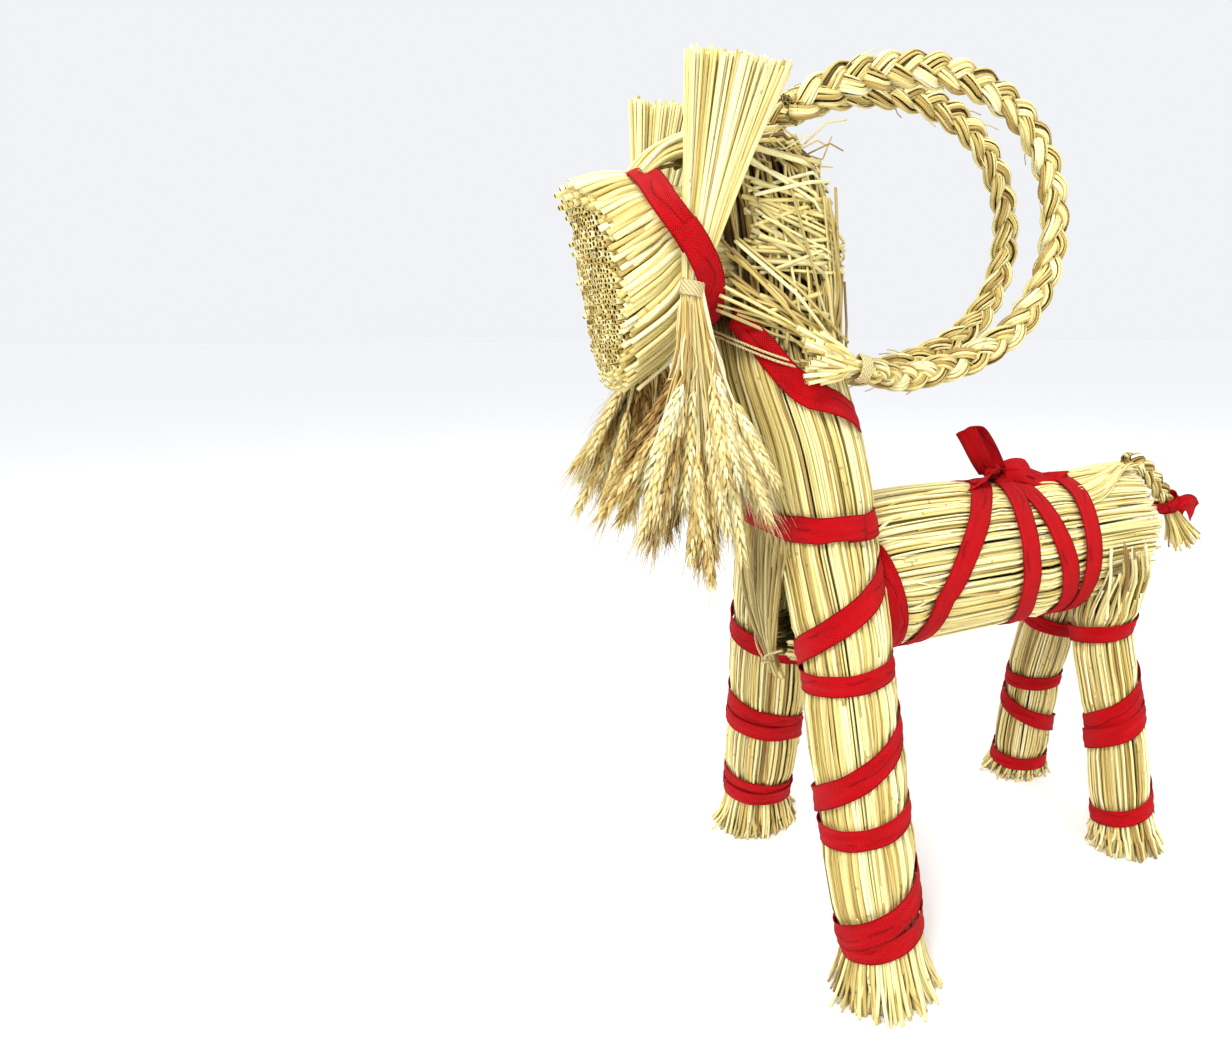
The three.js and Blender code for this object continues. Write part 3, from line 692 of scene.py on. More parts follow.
BODY_TAPES = {
    "body_tape_2": [(-90, -50), (-63, -49), (-12, -41), (14, -27), (42, -8), (87, 16), (90, 16)],
    "body_tape_3": [(-90, 34), (-53, 31), (-24, 25), (7, 23), (37, 25), (68, 30), (90, 32)],
    "body_tape_4": [(-90, 66), (-35, 64), (-4, 56), (24, 49), (55, 43), (90, 39)],
    "body_tape_5": [(-90, 79), (-65, 79), (-3, 76), (25, 77), (55, 80), (90, 78)],
}
BODY_TAPE_FRONT = [(-90, -64), (-52, -67), (-4, -75), (30, -84), (60, -98)]


def body_tape_y(rows, degrees):
    """Where a body tape is at an angle from +X up. Both sides are alike."""
    folded = (degrees + 90) % 360 - 90
    folded = np.where(folded > 90, 180 - folded, folded)
    keys, values = np.array(rows, float).T
    return np.interp(folded, keys, values)


def body_squeeze(degrees, centre):
    pressed = np.zeros(np.shape(degrees))
    for rows in [*BODY_TAPES.values(), BODY_TAPE_FRONT]:
        gap = centre[..., 1] - body_tape_y(rows, degrees)
        pressed = np.maximum(pressed, np.exp(-(gap / TAPE_REACH) ** 4))
    return TAPE_PRESS * pressed


def body_bundle():
    piece = Piece("straw_body", 31, tones=(3.0, 1.5))
    rng = piece.rng
    # Three layers, the deeper ones with more painted shade.
    for number, depth, painted_shade in ((186, 0.1, 0.0), (170, 1.8, 0.2), (90, 4.0, 0.7)):
        start = np.linspace(0, 360, number, endpoint=False)
        # The rump's end is cut on a slant: the straws on top reach farthest.
        last = BODY.find(137 + 10 * np.sin(np.radians(start)) + rng.normal(0, 3.6, number), 1)
        straw_layer(piece, BODY, number, depth, (rng.uniform(0.05, 0.14, number), last), 54, body_squeeze,
                    drift=4.0, painted_shade=painted_shade, rough=0.7)
    short = 60
    low = rng.uniform(0.1, 0.45, short)
    straw_layer(piece, BODY, short, -0.3, (low, low + rng.uniform(0.1, 0.26, short)), 30, body_squeeze,
                drift=12, radius=0.85)
    filling = 460
    end = rings_inside(BODY, rng, filling, float(BODY.find(138.0, 1)), 0.12, 0.94)
    end[:, :, 1] += (rng.uniform(-3, 4, filling) + 0.23 * (end[:, 0, 2] - BODY_Z))[:, None]
    # The straws that fill the cut rump end get a little painted shade.
    piece.strands(end, FILL_R, painted_shade=0.1)
    piece.finish("goat", "body_bundle")


def rear_leg(side):
    name = SIDE_NAMES[side]
    piece = Piece(f"straw_rear_{name}", 41 + side)
    bundle = Bundle(sided(REAR, side), (X, Y))
    rng = piece.rng

    def squeeze(degrees, centre):
        return tape_squeeze(REAR_TAPES[side], side, degrees, centre[..., 2])

    # Three layers, the deeper ones with more painted shade.
    for number, depth, painted_shade in ((70, 0.1, 0.0), (62, 1.9, 0.25), (44, 4.2, 0.7)):
        span = rng.uniform(-0.002, 0.012, number), rng.uniform(0.72, 0.97, number)
        straw_layer(piece, bundle, number, depth, span, 44, squeeze, drift=9, painted_shade=painted_shade, splay=4, fan=13)
    # Straws that fill the cut end at the foot, with a little painted shade.
    piece.strands(rings_inside(bundle, rng, 110, 0.0, 0.08), FILL_R, painted_shade=0.2)
    piece.finish("goat", f"rear_leg_{name}")


# ---------------------------------------------------------------- the head

RING = np.array([0, -183.0, 393.0])            # the middle of the tape round the muzzle
RING_UP = unit(np.array([0, -0.36, 0.933]))    # the tape leans forward at the top
RING_HALF = (33.0, 37.0)
FACE = np.array([0, -221, 373.0])              # the middle of the muzzle's cut face
FACE_UP = unit(np.array([0, -0.10, 1.0]))
FACE_HALF = (25.0, 50.0)


def muzzle():
    """Cut straws that fan out from the muzzle tape to the open face."""
    piece = Piece("straw_muzzle", 51)
    rng = piece.rng
    pitch, squareness = 2.75, 2.6
    spots = [((col + 0.5 * (row % 2)) * pitch, row * pitch * 0.87)
             for row in range(-22, 23) for col in range(-10, 11)]
    spots = np.array(spots) + rng.normal(0, 0.3, (len(spots), 2))
    reach = (np.abs(spots / FACE_HALF) ** squareness).sum(1) ** (1 / squareness)
    spots, reach = spots[reach < 1], reach[reach < 1]
    across, height = (spots / FACE_HALF).T[:, :, None]
    rim = np.clip((reach - 0.74) / 0.26, 0, 1)[:, None]
    end = FACE + X * spots[:, :1] + FACE_UP * spots[:, 1:]
    outer = reach > 0.80
    uneven = np.where(outer, 0.9, 0.4)[:, None]
    recess = rng.normal(0, 1, (len(spots), 1)) * uneven + rim * rng.uniform(0, 9, (len(spots), 1))
    recess = recess - np.clip((height - 0.72) / 0.28, 0, 1) * rng.uniform(2, 14, (len(spots), 1))
    end = end + Y * (5.0 * across + 4.0 * across ** 2 + recess)
    ring = RING + X * across * RING_HALF[0] + RING_UP * height * RING_HALF[1]
    back = RING + X * across * 26 + RING_UP * height * 30 + Y * 24
    mid = (ring + end) / 2 + X * across * 1.5 + FACE_UP * height * 2.5
    wide, thin = rng.uniform(1.3, 1.75, len(spots)), rng.uniform(1.1, 1.45, len(spots))
    size = np.where(height[:, 0] > 0.3, wide, thin)
    out = unit(X * across + FACE_UP * height)[:, None]
    piece.strands(smooth([back, ring, mid, end], 15)[outer], size[outer], out[outer], sides=8,
                  tone=rng.beta(3.8, 2.0, outer.sum()), flat=rng.uniform(0.8, 1, outer.sum()))
    # Inside the rim the tubes stand square to the curved face, so their bores show.
    inner = ~outer
    square = unit(X * (5.0 + 8.0 * across[inner]) / FACE_HALF[0] - Y - 0.1 * Z)
    tube = end[inner][:, None] - square[:, None] * np.array([14.0, 7.0, 0.0])[:, None]
    piece.strands(tube, size[inner], sides=8, tone=rng.beta(2.4, 2.2, inner.sum()))
    # From the top of the tape some run up and back to a twist between the ears.
    number = 80
    x = rng.uniform(-24, 24, (number, 1))
    lay = rng.normal(0, 2.0, (number, 3))
    knots = [RING + RING_UP * 36.5 + X * x - Y * 3, X * x * 0.8 + [0, -184, 440],
             X * x * 0.5 + [0, -160, 449], X * x * 0.3 + [0, -140, 452]]
    paths = smooth([k + lay * w for k, w in zip(knots, (0.3, 0.8, 1.4, 1.6))], 16)
    piece.strands(paths, rng.uniform(0.9, 1.35, number), Z, tone=0.45 + 0.5 * rng.random(number),
                  flat=rng.uniform(0.6, 1, number))
    piece.finish("goat", "muzzle_bundle")


def bent(points, count, soft=0.12):
    """Straight runs between points (strand, point, xyz) with slightly rounded corners."""
    k = points.shape[1]
    t = np.linspace(0, k - 1, count)
    i = np.minimum(t.astype(int), k - 2)
    f = t - i
    f = np.clip((f - soft) / (1 - 2 * soft), 0, 1) * 0.5 + f * 0.5
    return points[:, i] * (1 - f)[None, :, None] + points[:, i + 1] * f[None, :, None]


def head_windings():
    """Loose straws laid criss-cross round the back of the head."""
    lowest, highest = 338, 449
    for name, seed, number, front, back in (("upper", 61, 20, (400, 444), (384, 436)),
                                            ("middle", 62, 20, (384, 400), (382, 398)),
                                            ("lower", 63, 16, (352, 412), (348, 388))):
        piece = Piece(f"straw_winding_{name}", seed)
        rng = piece.rng
        corners = np.array([-30, 20, 66, 114, 160, 210]) + rng.normal(0, 7, (number, 6))
        share = np.array([0, 0.5, 1.0, 1.0, 0.5, 0])
        ahead, behind = rng.uniform(*front, (number, 1)), rng.uniform(*back, (number, 1))
        heights = ahead + (behind - ahead) * share + rng.normal(0, 2.5, corners.shape)
        heights[:, 3:] += rng.normal(0, 8, (number, 1))
        heights = np.clip(heights, lowest, highest)
        lift = rng.uniform(0.0, 4.5, (number, 1)) + rng.normal(0, 0.7, corners.shape)
        spots, out = HEAD.skin(HEAD.find(heights, 2), corners, lift)
        # Each straw gets painted shade of random strength.
        piece.strands(bent(spots, 30), rng.uniform(0.75, 1.3, number), bent(out, 30),
                      flat=rng.uniform(0.45, 0.9, number), tone=rng.beta(2.4, 1.7, number),
                      painted_shade=0.45 * rng.random(number) ** 2)
        piece.finish("goat", f"head_winding_{name}")


def head_fans():
    """Straws that fan over each cheek and arch over the crown."""
    piece = Piece("straw_crown", 64)
    rng = piece.rng
    for side in (1, -1):
        # From behind the ear down to where the horn's end is tied.
        # Then from the horn's end up over the back of the cheek.
        fans = []
        for number, start, stop, bulge in (
                (17, ((32, 38), (-170, -158), (362, 400)), ((43, 48), (-130, -104), (334, 352)), 3.5),
                (26, ((43, 48), (-126, -104), (330, 344)), ((30, 40), (-138, -100), (372, 428)), 2.0)):
            a, b = scatter(rng, number, *start), scatter(rng, number, *stop)
            mid = (a + b) / 2 + np.array([bulge, 0, 0]) + rng.normal(0, 1.8, (number, 3))
            fans.append(np.stack([a, mid, b], 1))
        fan = np.concatenate(fans) * [side, 1, 1]
        # Each straw gets painted shade of random strength.
        piece.strands(bent(fan, 14), rng.uniform(0.7, 1.15, len(fan)), X * side,
                      flat=rng.uniform(0.55, 1, len(fan)), tone=rng.beta(2.0, 2.0, len(fan)),
                      painted_shade=0.5 * rng.random(len(fan)) ** 1.5)
        # Uprights that bend over the top towards the muzzle.
        number = 40
        around = rng.uniform(-50, 90, number)
        knots = []
        for height in (345, 380, 412, 434):
            depth = rng.uniform(-4.0, 1.0, number)
            p, _ = HEAD.skin(HEAD.find(np.full(number, height), 2), around + rng.normal(0, 5, number), depth)
            knots.append(p)
        top = np.stack([rng.uniform(2, 22, number), knots[-1][:, 1] * 0.6 - 58 + rng.normal(0, 4, number),
                        rng.uniform(443, 453, number)], -1)
        over = np.stack([rng.uniform(2, 24, number), rng.normal(-168, 6, number),
                         rng.uniform(436, 444, number)], -1)
        knots = np.stack([*knots, top, over], 1) * [side, 1, 1]
        # Each upright gets painted shade of random strength.
        piece.strands(bent(knots, 26, 0.05), rng.uniform(0.7, 1.2, number), X * side,
                      tone=rng.beta(2.0, 2.4, number), flat=rng.uniform(0.5, 1, number),
                      painted_shade=0.35 * rng.random(number))
    # A few stray wisps.
    number = 16
    root = scatter(rng, number, (-20, 34), (-140, -108), (436, 448))
    tip = root + np.stack([rng.normal(0, 8, number), rng.uniform(6, 24, number),
                           rng.uniform(-16, 14, number)], -1)
    mid = (root + tip) / 2 + rng.normal(0, 3, (number, 3))
    piece.strands(bent(np.stack([root, mid, tip], 1), 10), 0.42, tone=rng.beta(2, 3, number), sides=4,
                  hollow=False)
    piece.finish("goat")


def chest():
    """Straws, darker in tone and with painted shade too, that come down between the front legs and are drawn
    together by a thread.
    """
    piece = Piece("straw_chest", 66)
    rng = piece.rng
    number = 70
    x = rng.uniform(-33, 33, (number, 1))
    lay = rng.normal(0, 1.0, (number, 1))
    knots = [X * x + [0, -130, 268], X * x + [0, -136, 244], X * x * 0.86 + [0, -138.5, 214],
             X * x * 0.5 + [0, -137, 186], X * x * 0.10 + [0, -132, 164], X * x * 0.22 + [0, -129, 153]]
    paths = smooth([k - Y * lay + X * rng.normal(0, 1.2, (number, 1)) for k in knots], 26)
    # Painted shade, as they lie back between the legs.
    piece.strands(paths, rng.uniform(0.8, 1.2, number), Y, tone=rng.beta(2.0, 2.8, number),
                  painted_shade=rng.uniform(0.1, 0.5, number), flat=rng.uniform(0.7, 1, number))
    piece.finish("goat")


TIE = np.array([40.0, -183.5, 374.0])


def sheaf(side):
    """One rye sheaf: the ear above its tie and half of the beard below it."""
    name = SIDE_NAMES[side]
    mirror = np.array([side, 1, 1])
    piece = Piece(f"straw_sheaf_{name}", 71 + side)
    rng = piece.rng
    number = 230
    fan = rng.permutation(np.linspace(-1, 1, number))[:, None]
    layer = rng.uniform(-1, 1, (number, 1))
    cut = rng.normal(0, 1.2, (number, 1)) - 1.2 * np.abs(fan)
    tip = X * layer * 4.2 + Y * fan * 24 + Z * cut + [50.5, -159.5, 475]
    middle = X * layer * 3.4 + Y * fan * 13.5 + [46, -172, 426]
    waist = X * layer * 2.6 + Y * fan * 3.8 + TIE
    below = X * layer * 3.0 + Y * fan * 4.6 + TIE - Z * 14
    points = 24
    stem = smooth([tip, (tip + middle) / 2, middle, (middle + waist) / 2 - Y * 0.5, waist, below], points)
    pinch = np.interp(np.linspace(0, 1, points), [0, 0.55, 0.8, 1.0], [1.0, 1.0, 0.62, 0.62])
    piece.strands(stem * mirror, rng.uniform(0.5, 0.9, (number, 1)) * pinch, X * side,
                  tone=rng.beta(3.2, 1.8, number), flat=rng.uniform(0.7, 1, number))

    heads = 54
    swing = rng.permutation(np.linspace(-1, 1, heads))[:, None]
    layer = rng.uniform(-1, 1, (heads, 1))
    reach = 36 + (56 - 26 * np.abs(swing)) * rng.uniform(0, 1, (heads, 1))
    aside = swing * (8 + np.where(swing < 0, 0.48, 0.32) * (reach - 36))
    knots = []
    for share in (0.0, 0.35, 0.7, 1.0):
        spread = 3.8 * swing + (aside - 3.8 * swing) * share ** 1.7
        knots.append(TIE + X * (layer * (2.6 + 7 * share) + 5 * share) + Y * spread - Z * reach * share)
    angle = np.radians(np.where(swing < 0, 32, 21) * swing + rng.normal(0, 4, (heads, 1)))
    way = unit(X * layer * 0.12 + Y * np.sin(angle) - Z * np.cos(angle))
    neck = knots[-1]
    tips = neck + way * rng.uniform(46, 61, (heads, 1))
    stalks = smooth([*knots, neck + way * 8], 18)
    piece.strands(stalks * mirror, rng.uniform(0.55, 0.8, heads), X * side, sides=5, hollow=False,
                  tone=rng.beta(3.0, 2.2, heads), material="head")
    # Loose stalks wander off beside them.
    number = 60
    pick = rng.integers(0, heads, number)
    loose = stalks[pick][:, ::3] + rng.normal(0, 1.5, (number, 6, 3)) * np.linspace(0.2, 1, 6)[:, None]
    piece.strands(smooth(np.swapaxes(loose * mirror, 0, 1), 14), 0.5, X * side, sides=4, hollow=False,
                  tone=rng.beta(2.6, 2.6, number), material="head")
    # Heads on the inner side, nearer the goat's middle, get painted shade: their tone is 0.34 lower.
    for a, b, out in zip(neck * mirror, tips * mirror, layer[:, 0]):
        rye_head(piece, a, b, 0.60 - 0.34 * (out < 0) + rng.normal(0, 0.2))
    piece.finish(f"sheaf_{name}", f"rye_sheaf_{name}")

    cord = Piece(f"thread_sheaf_{name}", 73 + side)
    wound_thread(cord, TIE * mirror, np.array([side * 0.05, -0.2, -1.0]), 5.3, 6.5, 7, squash=0.92)
    cord.finish(f"sheaf_{name}", f"sheaf_tie_{name}", material="thread")


def smooth(knots, count):
    """A curve for each strand through knots, a list with one point for each strand in each row."""
    points = np.stack(knots, 1)
    k = points.shape[1]
    t = np.linspace(0, k - 1, count)
    i = np.minimum(t.astype(int), k - 2)
    f = (t - i)[None, :, None]
    a, b, c, d = (points[:, np.clip(i + j, 0, k - 1)] for j in (-1, 0, 1, 2))
    a = np.where((i == 0)[None, :, None], 2 * b - c, a)
    d = np.where((i == k - 2)[None, :, None], 2 * c - b, d)
    return spline(a, b, c, d, f)


def rye_head(piece, root, tip, tone):
    """A bearded rye head: rows of husks along a stalk, each with an awn."""
    rng = piece.rng
    axis = unit(tip - root)
    length = np.linalg.norm(tip - root)
    sideways = unit(np.cross(axis, unit(rng.normal(0, 1, 3))))
    across = np.cross(axis, sideways)
    bend = sideways * rng.normal(0, 3.0) + across * rng.normal(0, 3.0)
    tiers, count = 16, 64
    place = np.repeat(np.linspace(0.0, 0.92, tiers), 4) + rng.normal(0, 0.006, count)
    turn = np.radians(np.tile([0, 90, 180, 270], tiers) + np.repeat(np.arange(tiers) % 2, 4) * 40)
    turn = turn + rng.normal(0, 0.12, count)
    out = sideways * np.cos(turn)[:, None] + across * 0.85 * np.sin(turn)[:, None]
    base = root + axis * (place * length)[:, None] + bend * (place ** 2)[:, None]
    girth = np.sin(np.pi * np.clip(place * 0.88 + 0.14, 0, 1)) ** 0.5
    slant = unit(axis + out * 0.36)
    size = rng.uniform(7.0, 8.8, count) * (0.75 + 0.3 * girth)
    s = np.array([0.0, 0.28, 0.62, 1.0])
    husk = base[:, None] + out[:, None] * 0.5 + slant[:, None] * (size[:, None] * s)[..., None]
    husk = husk + out[:, None] * (0.45 * np.sin(np.pi * s))[None, :, None]
    shade = np.clip(tone + rng.normal(0, 0.12, count), 0.02, 0.98)
    widths = np.array([0.5, 1.0, 0.85, 0.15])
    husks(piece, husk, 1.5 * girth[:, None] * widths, out, shade)
    # Three husks in five carry an awn.
    some = rng.random(count) < 0.6
    start, out = husk[some, -1], out[some]
    way = unit(axis + out * rng.uniform(0.08, 0.26, (len(out), 1)))
    awn_tip = start + way * rng.uniform(9, 20, (len(out), 1))
    awn = np.stack([start - slant[some] * 1.5, (start + awn_tip) / 2 + out * 0.6, awn_tip], 1)
    piece.strands(awn, 0.15, out[:, None], sides=3, hollow=False, taper=0.35, tone=shade[some],
                  material="head")


def husks(piece, paths, widths, out, tone):
    """Leaf-like scales along paths, each flattened towards the stalk."""
    along = slopes(paths)
    up = square_to(out[:, None], along)
    step = 2.2
    run = (np.arange(paths.shape[1]) * step)[None]
    piece.tubes(paths, widths, up, np.cross(along, up), 0.62, 5, tone, run, np.zeros((1, 1)), "head")


def wound_thread(piece, centre, axis, radius, length, turns, squash=1.0):
    """Thread wound round an axis, each turn beside the last."""
    axis = unit(axis)
    u = unit(np.cross(axis, X + 0.3 * Y))
    v = np.cross(axis, u)
    t = np.linspace(0, 1, turns * 16)
    angle = 2 * np.pi * turns * t
    spread = radius + piece.wander(1, len(t), 0.25, turns)[0]
    path = (centre + axis * (length * (t - 0.5))[:, None] + u * (spread * np.cos(angle))[:, None]
            + v * (spread * squash * np.sin(angle))[:, None])
    out = unit(path - centre - axis * ((path - centre) @ axis)[:, None])
    piece.thread(path[None], out[None])


# ---------------------------------------------------------------- plaits

def plait(piece, bundle, start, wide, thick, strand, period, points, grow):
    """Three strands of flattened straws, plaited from start to the end of a centre line. The flat
    side faces X. wide and thick are how far a strand swings, and strand is its own radius. grow
    gives places along the line and the plait's scale there."""
    straws = 13
    t = np.linspace(start, 1.0, points)
    c, _, u, v, *_ = bundle.at(t)
    run = distances(c)
    scale = np.interp(t, *grow)
    for k in range(3):
        phase = 2 * np.pi * (run / period + k / 3)
        centre = (c + v * (wide * scale * np.sin(phase))[:, None]
                  + u * (thick * scale * np.sin(2 * phase))[:, None])
        way = slopes(centre)
        e1 = square_to(u, way)
        e2 = np.cross(way, e1)
        angle = 2 * np.pi * (np.arange(straws) / straws) + piece.rng.normal(0, 0.08, straws)
        shell = piece.rng.uniform(0.86, 1.08, straws)
        puff = 1 + 0.10 * np.cos(2 * phase)
        place = angle[:, None] + piece.wander(straws, points, 0.22, run[-1] / period)
        size = strand * scale * puff * shell[:, None]
        offset = e1 * (np.cos(place) * size * 0.82)[..., None] + e2 * (np.sin(place) * size)[..., None]
        paths = centre + offset
        # Straws near the plait's own middle plane lie between the strands, so they get painted shade.
        level = np.abs(((paths - c) * u).sum(-1)) / (0.8 * strand)
        reach = np.abs(((paths - c) * v).sum(-1)) / (wide + strand)
        painted_gap_shade = 0.85 * np.clip(1 - level, 0, 1) * np.clip(1.25 - reach, 0, 1)
        piece.strands(paths, piece.rng.uniform(0.8, 1.35, straws) * strand / 4.2, unit(offset),
                      flat=0.55, painted_shade=painted_gap_shade, tone=piece.rng.beta(2.0, 2.1, straws))
        # Core straws inside each strand, with strong painted shade.
        core = centre[None] + e1[None] * piece.rng.normal(0, 0.9, (3, 1, 1))
        core = core + e2[None] * piece.rng.normal(0, 0.9, (3, 1, 1))
        piece.strands(core, strand * 0.42, sides=5, painted_shade=0.85)


def horn(side):
    name = SIDE_NAMES[side]
    piece = Piece(f"straw_horn_{name}", 81 + side)
    bundle = Bundle(sided(HORN, side))
    plait(piece, bundle, 0.0, wide=5.2, thick=2.7, strand=4.3, period=47.0, points=210,
          grow=([0, 0.06, 0.72, 1.0], [0.86, 1.0, 0.97, 0.62]))
    # The frayed end past the tie.
    number = 64
    rng = piece.rng
    root = np.array([side * (HORN_X + 31), -101, 336.0])
    way = unit(np.array([0.0, -1.0, 0.22]))
    start = root + rng.normal(0, 1.9, (number, 3)) - way * 5
    up = rng.uniform(-1, 1, (number, 1))
    outward = rng.uniform(-0.25, 1, (number, 1)) * side
    length = rng.uniform(22, 36, (number, 1))
    end = root + way * length + np.array([0, 0, 13.0]) * up + np.array([5.5, 0, 0]) * outward
    mid = root + way * length * 0.45 + np.array([0, 0, 7.5]) * up + np.array([3.2, 0, 0]) * outward
    knots = [start, root + way * 3 + rng.normal(0, 1.2, (number, 3)), mid,
             end + rng.normal(0, 1.2, (number, 3))]
    piece.strands(smooth(knots, 12), rng.uniform(0.9, 1.5, number), X * side,
                  flat=rng.uniform(0.4, 0.8, number), tone=rng.beta(3.4, 2.2, number))
    # Loose fibres that stand off the plait.
    number = 26
    t = rng.uniform(0.05, 0.93, number)
    c, along, u, v, *_ = bundle.at(t)
    away = unit(u * rng.normal(0, 0.7, (number, 1)) + v * rng.normal(0, 1, (number, 1)))
    root = c + away * 7
    tip = root + away * rng.uniform(2, 6, (number, 1)) + along * rng.uniform(6, 15, (number, 1))
    piece.strands(np.stack([root, (root + tip) / 2 + away, tip], 1), 0.35, sides=4, hollow=False,
                  tone=rng.beta(2.5, 2.5, number))
    piece.finish("goat", f"horn_plait_{name}")

    cord = Piece(f"thread_horn_{name}", 83 + side)
    wound_thread(cord, np.array([side * (HORN_X + 30.6), -100.0, 335.6]), way, 6.6, 6.0, 6)
    # Two threads run on round the head.
    points = 40
    for drop in (0.0, 2.5):
        degrees = np.linspace(12, -92, points)
        height = np.linspace(336 - drop, 356 - drop, points)
        run, out = HEAD.skin(HEAD.find(height, 2), degrees, np.full(points, 3.2))
        cord.thread(run[None] * [side, 1, 1], out[None] * [side, 1, 1], 0.7)
    cord.finish("goat", f"horn_tie_{name}", material="thread")


def tail():
    piece = Piece("straw_tail", 91)
    plait(piece, TAIL, 0.06, wide=4.3, thick=2.3, strand=3.9, period=38.0, points=70,
          grow=([0, 0.2, 0.75, 1.0], [0.9, 1.0, 0.9, 0.72]))
    piece.finish("tail", "tail_plait")

    tassel = Piece("straw_tassel", 92)
    rng = tassel.rng
    number = 60
    root = np.array([0, 202.5, 219.5])
    way = unit(np.array([0, 0.56, -0.83]))
    flare = unit(np.array([0, 0.83, 0.56]))
    disc = np.sqrt(rng.random(number))
    turn = rng.random(number) * 2 * np.pi
    off = (X[None] * (disc * np.cos(turn))[:, None] + flare * (disc * np.sin(turn))[:, None])
    start = root + off * 5 - way * 4
    mid = root + off * 7.5 + way * 12
    end = root + off * 14 + way * rng.uniform(24, 33, (number, 1))
    tassel.strands(smooth([start, mid, end], 9), rng.uniform(0.8, 1.3, number),
                   tone=rng.beta(2.8, 2.6, number), flat=rng.uniform(0.7, 1, number))
    tassel.finish("tail", "tail_tassel")

    # Straws drawn up from the back into the plait.
    gather = Piece("straw_tail_root", 93)
    rng = gather.rng
    number = 120
    degrees = rng.uniform(42, 138, number)
    forward = rng.uniform(0, 1, number)
    knots = []
    for y, pull, lift in ((78, 1.0, 0.2), (98, 0.86, 0.8), (118, 0.60, 2.0), (136, 0.30, 4.4)):
        t = BODY.find(y + (6 * forward - 2) * (y < 110), 1)
        knots.append(BODY.skin(t, 90 + (degrees - 90) * pull, lift * rng.uniform(0.4, 1.2, number))[0])
    end = np.stack([(degrees - 90) * -0.07 + rng.normal(0, 1.5, number), rng.uniform(152, 160, number),
                    rng.normal(258, 2.0, number)], -1)
    gather.strands(smooth([*knots, end], 20), rng.uniform(0.7, 1.1, number), Z,
                   flat=rng.uniform(0.6, 0.9, number), tone=rng.beta(3.2, 2.0, number))
    gather.finish("goat")


# ---------------------------------------------------------------- red tape

def add_tape(name, seed, node, places, out, body="goat", **shape):
    """One piece of tape in place of a CAD node."""
    piece = Piece(name, seed)
    piece.tape(places, out, **shape)
    piece.finish(body, node, material="tape")


def leg_tape(name, rows, tape, side, node):
    """A tape wound down a leg."""
    bundle = Bundle(sided(rows, side), (X, Y))
    turns, heights = tape_turns(tape)
    run = np.arange(0, turns[-1], 6.0)
    degrees = tape[0][0] - run
    if side < 0:
        degrees = 180 - degrees
    height = np.interp(run, turns, heights)
    wobble = np.convolve(height, np.ones(9) / 9, mode="same")
    height[5:-5] = wobble[5:-5]
    lift = 0.25 + 0.5 * np.sin(np.radians(run) * 0.5)
    places, ahead, behind = (bundle.skin(bundle.find(height + step, 2), degrees, lift)[0]
                             for step in (0, 2, -2))
    out = square_to(unit(places - bundle.centre(bundle.find(height, 2))), unit(ahead - behind))
    # The steep turns lie flat. The level ones are drawn together into a narrower band.
    steep = np.abs(np.gradient(height, run)) * 180
    width = TAPE_WIDTH * (0.80 + 0.20 * np.clip((steep - 18) / 12, 0, 1))
    width = np.convolve(np.pad(width, 4, mode="edge"), np.ones(9) / 9, mode="valid")
    add_tape(name, len(name) + 7 * side, node, places, out, width=width, fold=0.5)


def ring_tape(name, node, places, out):
    """A closed turn of tape: it runs a little over its own start."""
    places = np.concatenate([places, places[:3] + out[:3] * 0.7])
    add_tape(name, len(node), node, places, np.concatenate([out, out[:3]]))


def skin_places(bundle, t, degrees, lift):
    """Points on a bundle with the true direction out of its surface."""
    places, out = bundle.skin(t, degrees, lift)
    ahead, _ = bundle.skin(np.minimum(t + 0.01, 1), degrees, lift)
    behind, _ = bundle.skin(np.maximum(t - 0.01, 0), degrees, lift)
    return places, square_to(out, unit(ahead - behind))


def tapes():
    for side, name in SIDE_NAMES.items():
        leg_tape(f"tape_front_leg_{name}", FRONT, FRONT_TAPES[side], side, f"front_leg_tape_{name}")
        leg_tape(f"tape_rear_leg_{name}", REAR, REAR_TAPES[side], side, f"rear_leg_tape_{name}")
    degrees = np.arange(90, -270, -6.0)
    for i, (node, rows) in enumerate(BODY_TAPES.items()):
        t = BODY.find(body_tape_y(rows, degrees), 1)
        places, out = skin_places(BODY, t, degrees, np.full(len(t), 0.1 + 0.7 * (i % 2)))
        ring_tape(f"tape_body_{i + 1}", node, places, out)
    degrees = np.arange(60, -241, -6.0)
    t = BODY.find(body_tape_y(BODY_TAPE_FRONT, degrees), 1)
    add_tape("tape_body_front", 5, "body_tape_front", *skin_places(BODY, t, degrees, np.full(len(t), 0.6)))

    degrees = np.arange(0, 360, 5.0)
    t = HEAD.find(np.full(len(degrees), NECK_TAPE_Z), 2)
    ring_tape("tape_neck", "neck_tape", *skin_places(HEAD, t, degrees, np.full(len(degrees), 0.2)))
    muzzle_tape()
    degrees = np.arange(-62, 243, 4.0)
    folded = np.where(degrees > 90, 180 - degrees, degrees)
    height = np.interp(folded, [-62, -36, -18, 0, 45, 90], [362, 348, 334, 321, 308, 302])
    places, out = skin_places(HEAD, HEAD.find(height, 2), degrees, np.full(len(degrees), 1.2))
    add_tape("tape_neck_cross", 6, "neck_cross_tape", places, out)


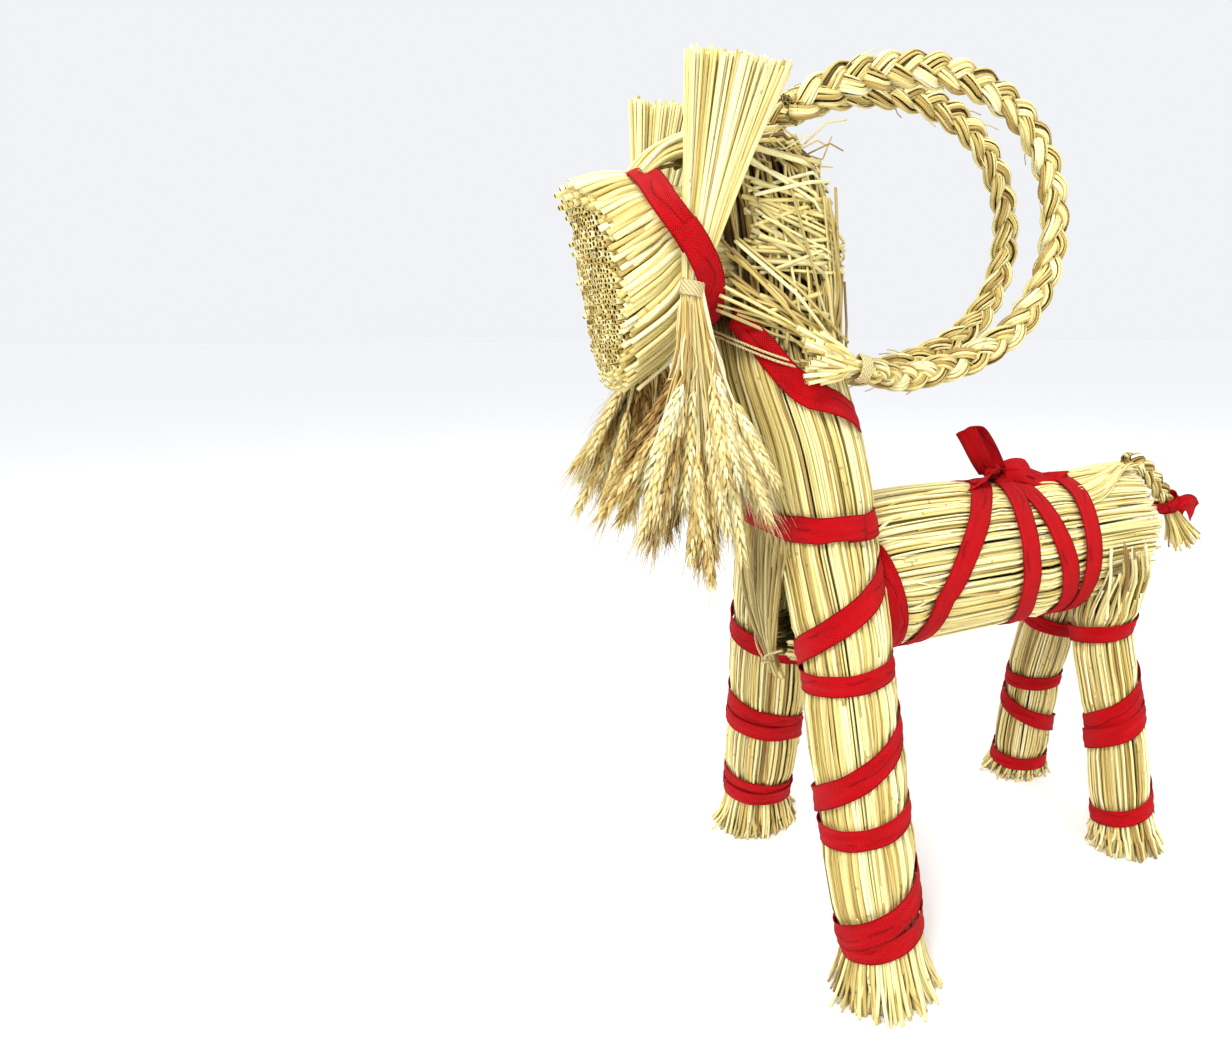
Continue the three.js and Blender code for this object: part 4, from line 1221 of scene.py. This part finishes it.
def muzzle_tape():
    clear, squareness = 3.2, 2.3
    turn = np.radians(np.arange(0, 360, 5.0))
    cos, sin = (np.sign(w) * np.abs(w) ** (2 / squareness) for w in (np.cos(turn), np.sin(turn)))
    places = (RING + X * (cos * (RING_HALF[0] + clear))[:, None]
              + RING_UP * (sin * (RING_HALF[1] + clear))[:, None])
    # On each side it runs over the foot of the ear, and holds it to the head.
    over = np.interp(sin, [-1, -0.7, -0.4, -0.15, 0.1, 0.4, 0.65, 0.85, 1], [0, 3, 7.5, 13, 15, 14, 9, 3, 0])
    aft = np.interp(sin, [-1, -0.6, -0.35, 0, 0.35, 0.7, 1], [0, 2, 3.5, -1, -6, -5, -1])
    over, aft = (np.convolve(np.pad(w, 3, mode="wrap"), np.ones(7) / 7, mode="valid") for w in (over, aft))
    places = places + X * (np.sign(cos) * over)[:, None] + Y * aft[:, None]
    out = unit(X * (cos / RING_HALF[0])[:, None] + RING_UP * (sin / RING_HALF[1])[:, None])
    ring_tape("tape_muzzle", "muzzle_tape", places, out)


KNOT = np.array([0, 29, BODY_Z + 52.5])
# The bow's loops and tails: points from the knot, width, slant of the cut end, and the direction
# across the tape.
BOW = {
    "bow_loop_front": ([(0, -4, 1), (2, -14, 13), (4, -24, 27), (3, -26, 32), (-1, -14, 30), (-3, -2, 16),
                        (0, 3, 3)], 14, 0, (0.8, 0.45, 0.4)),
    "bow_loop_rear": ([(2, 3, 1), (6, 13, 5), (9, 22, 4), (7, 27, 0), (2, 18, -1), (0, 6, -1)], 14, 0,
                      (0.62, 0.1, -0.78)),
    "bow_tail_front": ([(4, -3, 0), (9, -12, 1), (14, -19, -2), (17, -25, -3)], 13, 5, (0.8, 0.2, 0.5)),
    "bow_tail_rear": ([(3, 4, 1), (10, 14, 2), (13, 27, -3), (13, 39, -6), (10, 47, 0)], 14, -7,
                      (0.55, 0.1, -0.83)),
}


def bow():
    turn = np.radians(np.arange(0, 400, 14.0))
    places = KNOT + np.stack([1.5 * np.sin(turn * 0.5), 6.2 * np.cos(turn), 4.2 * np.sin(turn) + 1.5], -1)
    out = unit(np.stack([0 * turn, np.cos(turn) / 6.2, np.sin(turn) / 4.2], -1))
    add_tape("tape_bow_knot", 8, "bow_knot", places, out, width=12, fold=0.9, curl=-1.2, held="folded")
    for name, (points, width, ends, across) in BOW.items():
        curve = smooth(np.array(points, float)[:, None], 36)[0] + KNOT
        lean = unit(np.cross(slopes(curve), np.array(across)))
        add_tape(f"tape_{name}", len(name) + 3, name, curve, lean, width=width, fold=0.5, curl=0.9, ends=ends,
                 held="folded")


def tail_ribbon():
    points = 34
    degrees = np.linspace(0, 400, points)
    places, out = TAIL.skin(np.full(points, 0.9), degrees, np.linspace(0.4, 1.2, points))
    add_tape("tape_tail", 9, "tail_ribbon", places, out, body="tail", width=10, fold=0.9)
    knots = np.array([(8.5, 198, 223), (11, 202, 228), (11.5, 209, 227), (9, 217, 219)])
    curve = smooth(knots[:, None], 24)[0]
    lean = unit(np.cross(slopes(curve), np.array([0.2, 0.5, 1.0])))
    add_tape("tape_tail_end", 10, "tail_ribbon_end", curve, lean, body="tail", width=13, fold=0.6, curl=0.8,
             ends=4, held="folded")


def chest_tie():
    piece = Piece("thread_chest", 12)
    points = np.array([[(-22, -134, 196), (-8, -139, 174), (0, -137, 164), (8, -139, 170), (20, -134, 176)],
                       [(-3, -135, 166), (0, -138.5, 163), (4, -135, 164), (2, -130, 163), (-3, -132, 164)]])
    piece.thread(smooth(np.swapaxes(points, 0, 1), 30), Y)
    piece.finish("goat", "chest_tie", material="thread")


add_camera()
add_studio()
for side in (1, -1):
    front_bundle(side)
    rear_leg(side)
    sheaf(side)
    horn(side)
body_bundle()
muzzle()
head_windings()
head_fans()
chest()
tail()
tapes()
bow()
tail_ribbon()
chest_tie()
